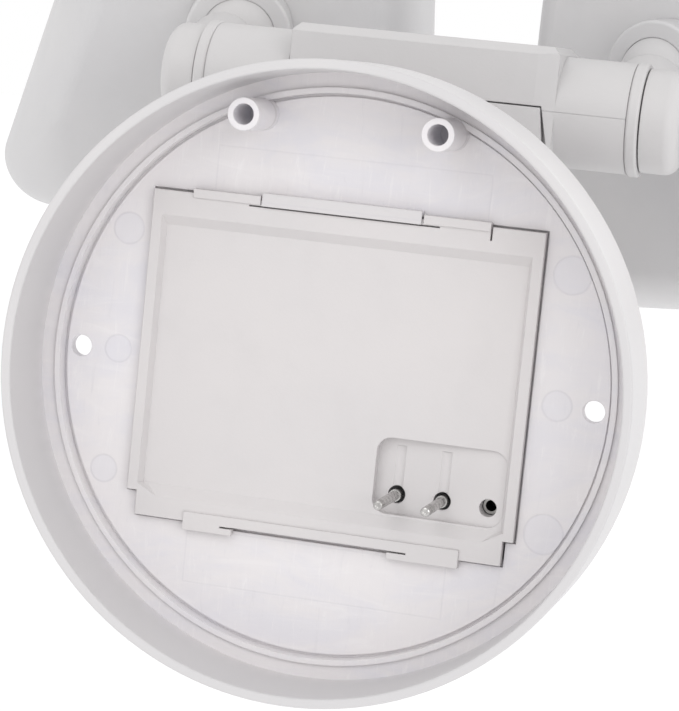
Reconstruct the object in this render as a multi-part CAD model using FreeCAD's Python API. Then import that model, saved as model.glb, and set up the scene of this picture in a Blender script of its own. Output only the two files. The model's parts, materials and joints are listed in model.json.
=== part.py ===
import FreeCAD, Part
import math
import os

# Wall-mounted floodlight security camera. Millimetres, +Z up, the lights and camera face -Y and the
# wall is on the +Y side. The origin is the middle of the two wall-screw holes, on the canopy's floor.

V = FreeCAD.Vector

# Canopy dish
CANOPY_R = 63.5          # outside radius
CANOPY_WALL = 2.0        # wall thickness at the rim
CANOPY_DRAFT = 0.4       # how much thicker the wall is at its foot
RIM_Y = 19.5             # rim height above the floor
FLOOR_T = 2.5            # floor thickness
LEDGE_Y = 2.0            # step at the foot of the wall
LEDGE_W = 2.9
RIB_W = 1.2              # thin ring rib inside the ledge
RIB_H = 0.6
GROOVE_W = 0.6           # groove between rib and floor
WALL_SCREW_X = 53.4      # wall-screw holes lie at plus and minus this
WALL_SCREW_HOLE_R = 2.2
BOSS_X = 19.54           # two tubular bosses near the top
BOSS_Z = 51.1
BOSS_R = 3.25
BOSS_BORE_R = 2.08
BOSS_TOP_Y = 14.45
BOSS_BORE_DEPTH = 12.5

# Power bay behind the canopy floor, and its clipped cover
COVER_HALF_W = 40.4      # cover half width above its lower step
COVER_STEP = 2.1         # the lower strip is this much narrower on each side
COVER_STEP_Z = -27.9
COVER_TOP_Z = 33.9
COVER_BOTTOM_Z = -32.9
COVER_GAP = 0.4           # slit round the cover
COVER_T = 2.8
COVER_PROUD = 1.5        # the cover stands this far above the floor
BAY_LIP = 1.2            # ledge the cover rests on
BAY_WALL = 2.0
BAY_FRONT_Y = -20.0      # outside of the bay's front wall
PANEL_TOP_Z = 28.9       # recessed panel in the cover
PANEL_BOTTOM_Z = -28.65
PANEL_HALF_W = 38.25
PANEL_DEPTH = 1.7
PANEL_TOP_SLOPE = 2.0     # width of the sloped band along the panel's top
PANEL_SIDE_SLOPE = 0.75   # and along its sides
PANEL_CHAMFER_X = 4.2    # cut corners at the panel's lower end
PANEL_CHAMFER_Z = 2.35
POCKET = (-37.4, -10.7, -25.9, -10.4)    # connector pocket: x low, x high, z low, z high
POCKET_CORNER = 3.0
POCKET_DEPTH = 2.4        # at its deep end; the floor rises towards -X
POCKET_SHALLOW = 0.3
POCKET_WALL = 1.5
FLUTE_R = 1.6             # upright flutes in the pocket floor above the pins
FLUTE_RISE = 0.4
FLUTE_LENGTH = 9.0
CLIP_X = (-15.4, 17.5)    # bar along the cover's upper edge
CLIP_T = 1.2
CLIP_PROUD = 0.7
TOP_SLIT = (-19.1, 20.3, 32.5, 32.8)      # x low, x high, z low, z high
LOW_SLIT = (-19.1, 19.9, -33.3, -32.95)
CORNER_SLIT = (-29.8, -29.4, 31.2, 34.5)  # short notch beside the upper tab
SLIT_DEPTH = 1.6
LOW_SLIT_ROOM = 0.5       # the floor is cut back this much further below the low slit
STRIP_X = (-26.7, 27.8)   # ridge along the cover's lower edge
STRIP_TOP_Z = -30.85
TAB_LOW_X = ((17.4, 27.8), (-29.8, -15.2))
TAB_TOP_X = ((17.9, 32.0), (-29.5, -15.8))
TAB_REACH_LOW = 1.7       # how far the tabs reach past the cover's edge
TAB_REACH_TOP = 0.9
TAB_PROUD = 0.4
TAB_FLOAT = 0.3           # tabs clear the canopy floor by this
BAY_CORNER = 4.0
RIM_EDGE = 0.5            # rounding of the canopy's rim
FRONT_EDGE = 1.5          # and of its front edge
WIRE_HOLE_R = 5.0

# Contacts in the pocket: two pins and one earth socket in a row
CONTACT_Z = -22.0
CONTACT_PITCH = 9.55
CONTACT_FIRST_X = -15.2
CONTACT_HOLE_R = 1.8
PIN_R = 1.0
PIN_ROOT_R = 1.25         # a pin is thicker inside its block
PIN_START_Y = -0.1        # where the plain part of a pin starts
PIN_TIP_ROUND = 0.45
PIN_TIP_Y = 14.5
SOCKET_R = 1.7
SOCKET_BORE_R = 1.15
BLOCK_DEPTH = 9.4
BLOCK_REACH = (3.2, 4.0, 3.6, 4.5)        # block past the contacts: -x, +x, -z, +z
BLOCK_FLOOR = 1.5
PRESS_FIT = 0.02          # radial gap of pieces that are pressed in

# Bay electronics
BOARD_T = 1.6
DRIVER_BOARD_Y = -15.6   # front face of the driver board
DRIVER_HALF_W = 37.5
DRIVER_HALF_H = 30.0
SCREW_R = 1.5            # shank radius of the larger screws
SCREW_WAY_R = 1.7         # clearance hole for it
SCREW_HEAD_R = 2.8
SCREW_HEAD_H = 2.0
SMALL_SCREW_R = 1.25
SMALL_HEAD_R = 2.5
SMALL_HEAD_H = 1.8
SCREW_POST_R = 3.4
POST_X = 33.0
POST_Z = 26.0
POST_R = 3.0
BOARD_HOLE_R = 1.2
CORE = (4.0, 28.0, -8.0, 14.0)            # transformer core: x low, x high, z low, z high
CORE_T = 2.5
WINDING_H = 5.5
WINDING_INSET = 3.0
CAPACITOR_R = 5.0
CAPACITOR_LENGTH = 12.0
CAPACITOR_X = (22.0, 8.0)
CAPACITOR_Z = -24.0
RELAY = (-24.0, -9.0, 2.0, 21.0)
RELAY_H = 10.5

# Centre housing in front of the bay
HOUSING_BACK_Y = -34.0
HOUSING_SPLIT_Y = -38.0
HOUSING_FRONT_Y = -50.0
HOUSING_HALF_W = 33.0
HOUSING_BOTTOM_Z = -58.0
HOUSING_CORNER = 10.0
HOUSING_WALL = 2.4
NECK_HALF_W = 24.0       # short neck between bay and housing
NECK_HALF_H = 26.0
MOUNT_SCREW_X = 17.0
MOUNT_SCREW_Z = 17.0

# Cross arm
ARM_Y = -46.5            # arm axis
ARM_Z = 57.0
TUBE_R = 11.75
TUBE_WALL = 2.4
BAR_X_LOW = -33.2        # squared middle part of the arm
BAR_X_HIGH = 24.6
BAR_BACK_Y = -34.2
BAR_FRONT_Y = -59.0
BAR_TOP_Z = 70.4
BAR_CHAMFER = 1.8
BAR_WALL = 2.5
ARM_SCREW_X = (-16.0, 14.0)
ARM_SCREW_Y = -43.4
TONGUE_REACH = 30.2      # rear tongue of the housing that covers the arm's lower half
TUBE_END_RIGHT = 43.4         # arm end from the middle, at +X
TUBE_END_LEFT = 48.2      # and at -X
BAR_END_SLOPE = 1.5       # sloped top corners of the squared part
BAR_END_FAIR = 4.5        # fairing of its back face into the tube
BAR_END_STEP = 0.6
REBATE_FLARE = 3.2
ARM_POST_R = 3.4
SPIGOT_T = 1.9            # tube inside the sleeve
SPIGOT_LENGTH = 7.0
SEAM = 0.3               # visible gap between fixed mouldings
SPLIT = 0.02              # gap at a clamped parting line
SLEEVE_GAP = 0.6          # seam between the squared part and the sleeve
TONGUE_GAP = 0.15         # seam at the tongue's -X side

# Elbow pivots at the ends of the arm
RING_T = 2.5              # end ring of the bush
RING_R = TUBE_R + 0.35
RING_GAP = 0.06           # ring to tube
HUB_GAP = 0.3             # ring to hub
RING_EDGE = 0.6
BUSH_R = TUBE_R - 2.65
BUSH_DEPTH = 4.8
SHAFT_R = 6.0
RUN_FIT = 0.08           # radial clearance of every turning fit
HUB_R = TUBE_R - 0.75
HUB_END_WALL = 3.0
HUB_BORE_R = 3.6
HUB_W = 7.8
HUB_FILLET = 3.0
NUT_R = 8.2
NUT_T = 4.0
WASHER_T = 1.0
NECK_X = 48.5            # neck and ball stand off the middle by this
NECK_R = 8.2
NECK_PITCH = 18.6        # degrees the neck rises towards the front
NECK_LENGTH = 30.8       # arm axis to ball centre
NECK_WAIST_R = 5.0
WIRE_R = 3.0

# Ball joints of the heads
BALL_R = 8.7
FLANGE_R = 12.2
FLANGE_BACK = 2.5        # the flange reaches this far behind the ball's centre
FLANGE_FRONT = -4.8
BARREL_R = 10.5
BARREL_FRONT = -12.0
FLANGE_EDGE = 0.8
SOCKET_LIP = 1.4          # ring that holds the socket in the head's back

# Light heads, measured from the ball's centre
HEAD_HALF_W = 55.3       # half width at the lower edge
HEAD_LEAN = 9.7          # degrees that the sides lean in towards the top
HEAD_LOW_Z = -58.1
HEAD_HIGH_Z = 52.7
HEAD_CORNER = 9.4
HEAD_BACK = -5.0
HEAD_DEPTH = 36.5
HEAD_WALL = 2.4
HEAD_LEDGE = 5.4
HEAD_LEDGE_T = 2.0
HEAD_LEDGE_Y = 5.8        # ledge behind the front edge
HEAD_SHAPE = ((0, 0), (0.7, 0.22), (2.6, 0.53), (5.6, 0.8), (9.0, 0.94), (13.5, 1.0))
# the shell draws in by the first number at the second number's share of its depth
HEAD_BOSS_R = 3.6
HEAD_BOSS_Y = -18.0
BEZEL_INSET = 0.5         # bezel behind the shell's front edge
BEZEL_GAP = 1.1
BEZEL_W = 5.4
BEZEL_T = 1.8
BEZEL_SKIRT = 1.3
LENS_GAP = 2.6            # lens edge to the shell's inside
GASKET_W = 2.6
STACK_GAP = 0.1           # lens, gasket and boards lie this close
LED_BOARD_FRONT = -22.8
SINK_INSET = 14.0
SINK_FRONT = -21.1
SINK_T = 3.0
FIN_PITCH = 6.4
FIN_T = 1.8
FIN_BACK = -13.6
FIN_LOW = 26.0            # fins stop this far above the head's lower edge
FIN_HIGH = 24.0
LENS_T = 2.0
LED_COLUMNS = 4
LED_ROWS = 5
LED_PITCH = 13.0
LED_SIZE = 5.0
LED_T = 1.05
HEAD_SCREW_X = 27.0
HEAD_SCREW_Z = 28.0
# rest pose of each head: tilt up, pan outwards, roll with the top inwards, in degrees
HEAD_POSE = {"right": (13.4, 12.8, 8.2), "left": (7.0, 21.3, 7.7)}
SIDES = {"right": 1.0, "left": -1.0}

# Camera on a two-pin bracket below the lights
CAM_Z = -47.0
CAM_R = 20.0
CAM_BACK_Y = -80.0
CAM_SPLIT_Y = -103.0
CAM_FRONT_Y = -123.0
CAM_WALL = 2.2
PAN_Y = -61.0
TILT_Y = -73.0
PIVOT_PIN_R = 2.0
KNUCKLE_R = 5.0
EAR_T = 3.0
EAR_GAP = 0.3
MOUNT_PAD_R = 10.4
MOUNT_PAD_T = 3.0
WEB_HALF_W = 3.4          # web between the knuckle's two barrels
WEB_HALF_H = 4.4
PIVOT_HEAD = 1.2          # pin head past its shank and its thickness
CAM_BACK_ROUND = 6.0
CAM_NOSE_ROUND = 2.0
CAM_HOOD = 3.0            # hood in front of the window
CAM_SEAT_W = 2.0          # ledge behind the window
WINDOW_T = 1.5
WINDOW_BORE_R = 6.3
CAM_BOARD_BACK = 6.0      # camera board in front of the split
BARREL_TUBE_R = 6.0
BARREL_COLLAR_R = 7.5
BARREL_COLLAR_H = 3.9
BARREL_WELL_R = 4.6
BARREL_WELL = 2.4
CAM_LENS_ROUND = 9.0
CAM_LENS_R = 4.5
LAMP_CIRCLE_R = 11.0
LAMP_R = 1.8

# Front of the housing
PIR_R = 10.5
PIR_Z = -14.0
PIR_REACH = 5.5           # dome past the housing's front
PIR_WALL = 1.0
PIR_STEM_WALL = 1.5
SENSOR_R = 4.4
SENSOR_H = 2.6
MAIN_BOARD_Y = -41.0
MAIN_BOARD_INSET = 10.5
MAIN_BOARD_FOOT = 8.0     # board above the housing's bottom
SHIELD_CAN = (-22.0, -3.0, -42.0, -27.0)
SHIELD_CAN_H = 2.4
SWITCH_HALF_W = 3.0
SWITCH_REACH = 3.2
SWITCH_H = 4.5
SPEAKER_R = 13.0
SPEAKER_Z = 20.0
SPEAKER_CONE_T = 2.0
SPEAKER_MAGNET_T = 2.6
GRILLE_PITCH = 2.4
GRILLE_HOLE_R = 0.6
BUTTON_R = 3.2
BUTTON_X = 17.5
BUTTON_Y = -43.6
BUTTON_TRAVEL = 1.2
BUTTON_PROUD = 1.6
PLUNGER_R = 1.2


def box(x0, x1, y0, y1, z0, z1):
    return Part.makeBox(x1 - x0, y1 - y0, z1 - z0, V(x0, y0, z0))


def rod(x, y, z, axis, radius, length):
    return Part.makeCylinder(radius, length, V(x, y, z), V(*axis))


def fuse(shapes):
    first, rest = shapes[0], shapes[1:]
    return first.fuse(rest).removeSplitter() if rest else first


def cut(shape, tools):
    return shape.cut(tools) if tools else shape


def round_edges(shape, y, above=0.0):
    """The round edges at one y whose radius is above a limit."""
    return [e for e in shape.Edges if isinstance(e.Curve, Part.Circle)
            and abs(e.Curve.Center.y - y) < 0.01 and e.Curve.Radius > above]


def plate(points, y0, y1):
    """A flat piece with an outline in X and Z, from y0 to y1."""
    corners = [V(x, y0, z) for x, z in points]
    return Part.Face(Part.makePolygon(corners + corners[:1])).extrude(V(0, y1 - y0, 0))


def loft(low, low_y, high, high_y):
    """A straight-sided loft between two outlines in X and Z."""
    wires = []
    for points, y in ((low, low_y), (high, high_y)):
        corners = [V(x, y, z) for x, z in points]
        wires.append(Part.makePolygon(corners + corners[:1]))
    return Part.makeLoft(wires, True, True)


def ring_x(x0, x1, outer, inner):
    """A tube along the arm axis."""
    tube = rod(x0, ARM_Y, ARM_Z, (1, 0, 0), outer, x1 - x0)
    return tube.cut(rod(x0 - 1, ARM_Y, ARM_Z, (1, 0, 0), inner, x1 - x0 + 2))


def rounded_outline(corners, radius, y):
    """A closed wire through rounded corners, counter-clockwise in X and Z."""
    edges = []
    previous_end = None
    first_start = None
    count = len(corners)
    for i in range(count):
        here = V(corners[i][0], y, corners[i][1])
        before = V(corners[i - 1][0], y, corners[i - 1][1]) - here
        after = V(corners[(i + 1) % count][0], y, corners[(i + 1) % count][1]) - here
        before.normalize()
        after.normalize()
        half = before.getAngle(after) / 2
        start = here + before * (radius / math.tan(half))
        end = here + after * (radius / math.tan(half))
        inward = (before + after).normalize()
        middle = here + inward * (radius / math.sin(half) - radius)
        if previous_end is not None:
            edges.append(Part.makeLine(previous_end, start))
        else:
            first_start = start
        edges.append(Part.Arc(start, middle, end).toShape())
        previous_end = end
    edges.append(Part.makeLine(previous_end, first_start))
    return Part.Wire(edges)


def rounded_plate(corners, radius, y0, y1):
    return Part.Face(rounded_outline(corners, radius, y0)).extrude(V(0, y1 - y0, 0))


def screw(x, y, z, axis, shank_r, shank_length, head_r, head_h):
    """A cheese-head screw: its seat is at the point and its shank runs along the axis."""
    way = V(*axis)
    head = Part.makeCylinder(head_r, head_h, V(x, y, z) - way * head_h, way)
    slot = Part.makeCylinder(head_r * 0.45, head_h * 0.5, V(x, y, z) - way * head_h, way)
    shank = Part.makeCylinder(shank_r, shank_length, V(x, y, z), way)
    return head.cut(slot).fuse(shank).removeSplitter()


# ------------------------------------------------------------------ canopy and power bay

def cover_outline(grow):
    """The cover's stepped outline, grown by a gap."""
    wide = COVER_HALF_W + grow
    narrow = COVER_HALF_W - COVER_STEP + grow
    top = COVER_TOP_Z + grow
    bottom = COVER_BOTTOM_Z - grow
    step = COVER_STEP_Z - grow
    return [(wide, top), (-wide, top), (-wide, step), (-narrow, step),
            (-narrow, bottom), (narrow, bottom), (narrow, step), (wide, step)]


def bay_cavity_limits():
    shrink = COVER_GAP - BAY_LIP
    half = COVER_HALF_W + shrink
    return half, COVER_BOTTOM_Z - shrink, COVER_TOP_Z + shrink


def canopy_dish():
    wall_in_rim = CANOPY_R - CANOPY_WALL
    wall_in_foot = wall_in_rim - CANOPY_DRAFT
    rib_out = wall_in_foot - LEDGE_W
    rib_in = rib_out - RIB_W
    groove_in = rib_in - GROOVE_W
    outline = [(0, 0), (groove_in, 0), (groove_in, -GROOVE_W), (rib_in, -GROOVE_W),
               (rib_in, LEDGE_Y + RIB_H), (rib_out, LEDGE_Y + RIB_H), (rib_out, LEDGE_Y),
               (wall_in_foot, LEDGE_Y), (wall_in_rim, RIM_Y), (CANOPY_R, RIM_Y),
               (CANOPY_R, -FLOOR_T), (0, -FLOOR_T)]
    corners = [V(r, y, 0) for r, y in outline]
    face = Part.Face(Part.makePolygon(corners + corners[:1]))
    dish = face.revolve(V(0, 0, 0), V(0, 1, 0), 360)
    dish = dish.makeFillet(RIM_EDGE, round_edges(dish, RIM_Y))
    return dish.makeFillet(FRONT_EDGE, round_edges(dish, -FLOOR_T, wall_in_foot))


def cover_clips():
    """Bar on the canopy floor that lies along the cover's upper edge, joined to the floor above it."""
    x0, x1 = CLIP_X
    low = COVER_TOP_Z - CLIP_T + 0.1
    high = COVER_TOP_Z + COVER_GAP
    over = box(x0, x1, COVER_PROUD + 0.15, COVER_PROUD + CLIP_PROUD, low, high + CLIP_T)
    foot = box(x0, x1, -0.5, COVER_PROUD + CLIP_PROUD, high, high + CLIP_T)
    return [foot, over]


def canopy_shell():
    half, low, high = bay_cavity_limits()
    outer = [(half + BAY_WALL, low - BAY_WALL), (half + BAY_WALL, high + BAY_WALL),
             (-half - BAY_WALL, high + BAY_WALL), (-half - BAY_WALL, low - BAY_WALL)]
    bay = rounded_plate(outer, BAY_CORNER, BAY_FRONT_Y, -FLOOR_T)
    bosses = [rod(side * BOSS_X, -FLOOR_T, BOSS_Z, (0, 1, 0), BOSS_R, BOSS_TOP_Y + FLOOR_T)
              for side in (1, -1)]
    shell = fuse([canopy_dish(), bay] + bosses + cover_clips())
    lip = COVER_PROUD - COVER_T
    tools = [plate(cover_outline(COVER_GAP), lip, 0.01)]
    tools.append(box(-half, half, BAY_FRONT_Y + BAY_WALL, lip + 0.01, low, high))
    edge = COVER_BOTTOM_Z - COVER_GAP
    tools.append(box(LOW_SLIT[0], LOW_SLIT[1], lip, 0.01, edge - LOW_SLIT_ROOM, edge + 0.1))
    for side in (1, -1):
        tools.append(rod(side * WALL_SCREW_X, -FLOOR_T - 1, 0, (0, 1, 0), WALL_SCREW_HOLE_R, 6))
        start = BOSS_TOP_Y - BOSS_BORE_DEPTH
        tools.append(rod(side * BOSS_X, start, BOSS_Z, (0, 1, 0), BOSS_BORE_R, BOSS_BORE_DEPTH + 1))
        for up in (1, -1):
            tools.append(rod(side * MOUNT_SCREW_X, BAY_FRONT_Y - 1, up * MOUNT_SCREW_Z,
                             (0, 1, 0), SCREW_WAY_R, 6))
    tools.append(rod(0, BAY_FRONT_Y - 1, 0, (0, 1, 0), WIRE_HOLE_R, 6))
    shell = cut(shell, tools)
    posts = []
    floor = BAY_FRONT_Y + BAY_WALL
    for x in (POST_X, -POST_X):
        for z in (POST_Z, -POST_Z):
            posts.append(rod(x, floor - 0.5, z, (0, 1, 0), POST_R, DRIVER_BOARD_Y - floor + 0.5))
    return fuse([shell] + posts)


def slit(limits, top):
    x0, x1, z0, z1 = limits
    return box(x0, x1, top - SLIT_DEPTH, top + 5, z0, z1)


def pocket_floor_y():
    """The pocket's floor at its deep end."""
    return COVER_PROUD - PANEL_DEPTH - POCKET_DEPTH


def pocket_room():
    """The pocket as a solid, with its floor sloping up towards -X."""
    px0, px1, pz0, pz1 = POCKET
    top = COVER_PROUD - PANEL_DEPTH + 0.01
    outline = [(px1, pz0), (px1, pz1), (px0, pz1), (px0, pz0)]
    upright = rounded_plate(outline, POCKET_CORNER, pocket_floor_y(), top)
    slope = [V(px1, pocket_floor_y(), pz0), V(px1, top, pz0), V(px0, top, pz0),
             V(px0, COVER_PROUD - PANEL_DEPTH - POCKET_SHALLOW, pz0)]
    wedge = Part.Face(Part.makePolygon(slope + slope[:1])).extrude(V(0, 0, pz1 - pz0))
    return upright.common(wedge)


def panel_recess():
    w = PANEL_HALF_W
    low_z = PANEL_BOTTOM_Z + PANEL_CHAMFER_Z
    rim = [(w, PANEL_TOP_Z), (-w, PANEL_TOP_Z), (-w, low_z), (-w + PANEL_CHAMFER_X, PANEL_BOTTOM_Z),
           (w - PANEL_CHAMFER_X, PANEL_BOTTOM_Z), (w, low_z)]
    inner = w - PANEL_SIDE_SLOPE
    floor_top = PANEL_TOP_Z - PANEL_TOP_SLOPE
    corner = low_z + 0.1
    floor = [(inner, floor_top), (-inner, floor_top), (-inner, corner),
             (-inner + PANEL_SIDE_SLOPE, low_z), (inner - PANEL_SIDE_SLOPE, low_z), (inner, corner)]
    return loft(floor, COVER_PROUD - PANEL_DEPTH, rim, COVER_PROUD + 0.001)


def bay_cover():
    back = COVER_PROUD - COVER_T
    proud = COVER_PROUD + TAB_PROUD
    parts = [plate(cover_outline(0), back, COVER_PROUD)]
    parts.append(box(*STRIP_X, COVER_PROUD - 0.5, proud, COVER_BOTTOM_Z, STRIP_TOP_Z))
    for x0, x1 in TAB_LOW_X:
        parts.append(box(x0, x1, TAB_FLOAT, proud, COVER_BOTTOM_Z - TAB_REACH_LOW, STRIP_TOP_Z))
    for x0, x1 in TAB_TOP_X:
        parts.append(box(x0, x1, TAB_FLOAT, proud, COVER_TOP_Z - 0.9, COVER_TOP_Z + TAB_REACH_TOP))
    px0, px1, pz0, pz1 = POCKET
    under = pocket_floor_y() - POCKET_WALL
    parts.append(box(px0 - POCKET_WALL, px1 + POCKET_WALL, under, back + 0.2,
                     pz0 - POCKET_WALL, pz1 + POCKET_WALL))
    tools = [panel_recess(), pocket_room(), slit(LOW_SLIT, COVER_PROUD), slit(TOP_SLIT, COVER_PROUD),
             slit(CORNER_SLIT, COVER_PROUD)]
    for i in range(3):
        x = CONTACT_FIRST_X - i * CONTACT_PITCH
        tools.append(rod(x, under - 1, CONTACT_Z, (0, 1, 0), CONTACT_HOLE_R, 12))
        if i < 2:
            along = (POCKET[1] - x) / (POCKET[1] - POCKET[0])
            floor_here = pocket_floor_y() + along * (POCKET_DEPTH - POCKET_SHALLOW)
            flute = rod(x, floor_here + FLUTE_R - FLUTE_RISE, CONTACT_Z + 1, (0, 0, 1), FLUTE_R,
                        FLUTE_LENGTH)
            tools.append(flute)
    return cut(fuse(parts), tools)


def contact_parts():
    block_top = pocket_floor_y() - POCKET_WALL - 0.1
    root = block_top - BLOCK_DEPTH + BLOCK_FLOOR
    last_x = CONTACT_FIRST_X - 2 * CONTACT_PITCH
    past_x0, past_x1, past_z0, past_z1 = BLOCK_REACH
    block = box(last_x - past_x0, CONTACT_FIRST_X + past_x1, block_top - BLOCK_DEPTH, block_top,
                CONTACT_Z - past_z0, CONTACT_Z + past_z1)
    pins = []
    holes = []
    for i in range(2):
        x = CONTACT_FIRST_X - i * CONTACT_PITCH
        thick = rod(x, root, CONTACT_Z, (0, 1, 0), PIN_ROOT_R, PIN_START_Y - root)
        plain = rod(x, PIN_START_Y, CONTACT_Z, (0, 1, 0), PIN_R, PIN_TIP_Y - PIN_START_Y)
        plain = plain.makeFillet(PIN_TIP_ROUND, round_edges(plain, PIN_TIP_Y))
        pins.append(fuse([thick, plain]))
        holes.append(rod(x, root, CONTACT_Z, (0, 1, 0), PIN_ROOT_R + PRESS_FIT, 30))
    socket_top = block_top - 0.2
    socket = rod(last_x, root, CONTACT_Z, (0, 1, 0), SOCKET_R, socket_top - root)
    bore = rod(last_x, root + BLOCK_FLOOR, CONTACT_Z, (0, 1, 0), SOCKET_BORE_R, socket_top - root)
    holes.append(rod(last_x, root, CONTACT_Z, (0, 1, 0), SOCKET_R + PRESS_FIT, 30))
    return {"contact_block": cut(block, holes), "contact_pins": Part.makeCompound(pins),
            "ground_socket": socket.cut(bore)}


def driver_parts():
    top = DRIVER_BOARD_Y + BOARD_T
    board = box(-DRIVER_HALF_W, DRIVER_HALF_W, DRIVER_BOARD_Y, top, -DRIVER_HALF_H, DRIVER_HALF_H)
    holes = []
    for x in (POST_X, -POST_X):
        for z in (POST_Z, -POST_Z):
            holes.append(rod(x, DRIVER_BOARD_Y - 1, z, (0, 1, 0), BOARD_HOLE_R, BOARD_T + 2))
    x0, x1, z0, z1 = CORE
    low = top + CORE_T
    high = low + WINDING_H
    inset = WINDING_INSET
    core = box(x0, x1, top, low, z0, z1)
    winding = box(x0 + inset, x1 - inset, low, high, z0 + inset, z1 - inset)
    yoke = box(x0, x1, high, high + CORE_T, z0, z1)
    capacitors = [rod(x, top + CAPACITOR_R, CAPACITOR_Z, (0, 0, 1), CAPACITOR_R, CAPACITOR_LENGTH)
                  for x in CAPACITOR_X]
    x0, x1, z0, z1 = RELAY
    relay = box(x0, x1, top, top + RELAY_H, z0, z1)
    return {"driver_board": cut(board, holes), "driver_transformer": fuse([core, winding, yoke]),
            "driver_capacitors": Part.makeCompound(capacitors), "driver_relay": relay}


# ------------------------------------------------------------------ centre housing

def housing_corners(inset):
    half = HOUSING_HALF_W - inset
    top = housing_top_z() - inset
    bottom = HOUSING_BOTTOM_Z + inset
    return [(half, bottom), (half, top), (-half, top), (-half, bottom)]


def housing_top_z():
    return ARM_Z - TUBE_R - 0.8


def housing_screw_places():
    reach_x = HOUSING_HALF_W - 6.5
    return [(reach_x, housing_top_z() - 6.5), (-reach_x, housing_top_z() - 6.5),
            (reach_x, HOUSING_BOTTOM_Z + 9.5), (-reach_x, HOUSING_BOTTOM_Z + 9.5)]


def housing_rear():
    split = HOUSING_SPLIT_Y
    body = rounded_plate(housing_corners(0), HOUSING_CORNER, split, HOUSING_BACK_Y)
    cavity = rounded_plate(housing_corners(HOUSING_WALL), HOUSING_CORNER - HOUSING_WALL,
                           split - 1, HOUSING_BACK_Y - HOUSING_WALL)
    neck_corners = [(NECK_HALF_W, -NECK_HALF_H), (NECK_HALF_W, NECK_HALF_H),
                    (-NECK_HALF_W, NECK_HALF_H), (-NECK_HALF_W, -NECK_HALF_H)]
    neck = rounded_plate(neck_corners, 6.0, HOUSING_BACK_Y - 1, BAY_FRONT_Y - 0.2)
    inner = [(x * 0.88, z * 0.88) for x, z in neck_corners]
    neck_cavity = rounded_plate(inner, 4.0, HOUSING_BACK_Y - HOUSING_WALL - 0.1,
                                BAY_FRONT_Y - 0.2 - HOUSING_WALL)
    tongue = plate([(BAR_X_HIGH - SEAM, ARM_Z + 0.6), (-TONGUE_REACH, ARM_Z + 0.6),
                    (-HOUSING_HALF_W, housing_top_z() - 8), (BAR_X_HIGH - SEAM, housing_top_z() - 8)],
                   HOUSING_BACK_Y - HOUSING_WALL, HOUSING_BACK_Y)
    shell = cut(fuse([body, neck]), [cavity, neck_cavity])
    posts = [rod(x, split, z, (0, 1, 0), SCREW_POST_R, HOUSING_BACK_Y - split)
             for x, z in housing_screw_places()]
    mount_posts = []
    tools = []
    for x in (MOUNT_SCREW_X, -MOUNT_SCREW_X):
        for z in (MOUNT_SCREW_Z, -MOUNT_SCREW_Z):
            mount_posts.append(rod(x, BAY_FRONT_Y - 11, z, (0, 1, 0), SCREW_POST_R, 10.8))
            tools.append(rod(x, BAY_FRONT_Y - 10, z, (0, 1, 0), SCREW_R + PRESS_FIT, 12))
    shell = fuse([shell, tongue] + posts + mount_posts)
    tools += [rod(x, split - 1, z, (0, 1, 0), SMALL_SCREW_R + PRESS_FIT, 3.4)
              for x, z in housing_screw_places()]
    tools.append(rod(0, BAY_FRONT_Y - 6, 0, (0, 1, 0), WIRE_HOLE_R, 10))
    return cut(shell, tools)


def housing_front():
    back = HOUSING_SPLIT_Y - SPLIT
    body = rounded_plate(housing_corners(0), HOUSING_CORNER, HOUSING_FRONT_Y, back)
    edges = [e for e in body.Edges if abs(e.CenterOfMass.y - HOUSING_FRONT_Y) < 0.01]
    body = body.makeFillet(1.8, edges)
    cavity = rounded_plate(housing_corners(HOUSING_WALL), HOUSING_CORNER - HOUSING_WALL,
                           HOUSING_FRONT_Y + HOUSING_WALL, back + 1)
    shell = body.cut(cavity)
    posts = [rod(x, HOUSING_FRONT_Y + 1, z, (0, 1, 0), SCREW_POST_R, back - HOUSING_FRONT_Y - 1)
             for x, z in housing_screw_places()]
    shell = fuse([shell] + posts)
    tools = [rod(0, HOUSING_FRONT_Y - 1, PIR_Z, (0, 1, 0), PIR_R + 0.2, 6)]
    for column in range(-4, 5):
        for row in range(-4, 5):
            x, z = column * GRILLE_PITCH, row * GRILLE_PITCH
            if math.hypot(x, z) < SPEAKER_R - 3.0:
                tools.append(rod(x, HOUSING_FRONT_Y - 1, SPEAKER_Z + z, (0, 1, 0), GRILLE_HOLE_R, 6))
    for x, z in housing_screw_places():
        tools.append(rod(x, HOUSING_FRONT_Y - 1, z, (0, 1, 0), SMALL_SCREW_R + 0.25, 20))
        tools.append(rod(x, HOUSING_FRONT_Y - 1, z, (0, 1, 0), SMALL_HEAD_R + 0.3, 3.4))
    tools.append(rod(BUTTON_X, BUTTON_Y, HOUSING_BOTTOM_Z - 1, (0, 0, 1), BUTTON_R + 0.2, 6))
    for x in ARM_SCREW_X:
        tools.append(rod(x, ARM_SCREW_Y, housing_top_z() - HOUSING_WALL - 1, (0, 0, 1), SCREW_WAY_R, 5))
    return cut(shell, tools)


def housing_screws():
    screws = []
    for x in (MOUNT_SCREW_X, -MOUNT_SCREW_X):
        for z in (MOUNT_SCREW_Z, -MOUNT_SCREW_Z):
            screws.append(screw(x, BAY_FRONT_Y + BAY_WALL, z, (0, -1, 0), SCREW_R, 11,
                                SCREW_HEAD_R, SCREW_HEAD_H))
    for x, z in housing_screw_places():
        screws.append(screw(x, HOUSING_FRONT_Y + HOUSING_WALL, z, (0, 1, 0), SMALL_SCREW_R, 11.6,
                            SMALL_HEAD_R, SMALL_HEAD_H))
    return Part.makeCompound(screws)


# ------------------------------------------------------------------ cross arm

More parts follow.
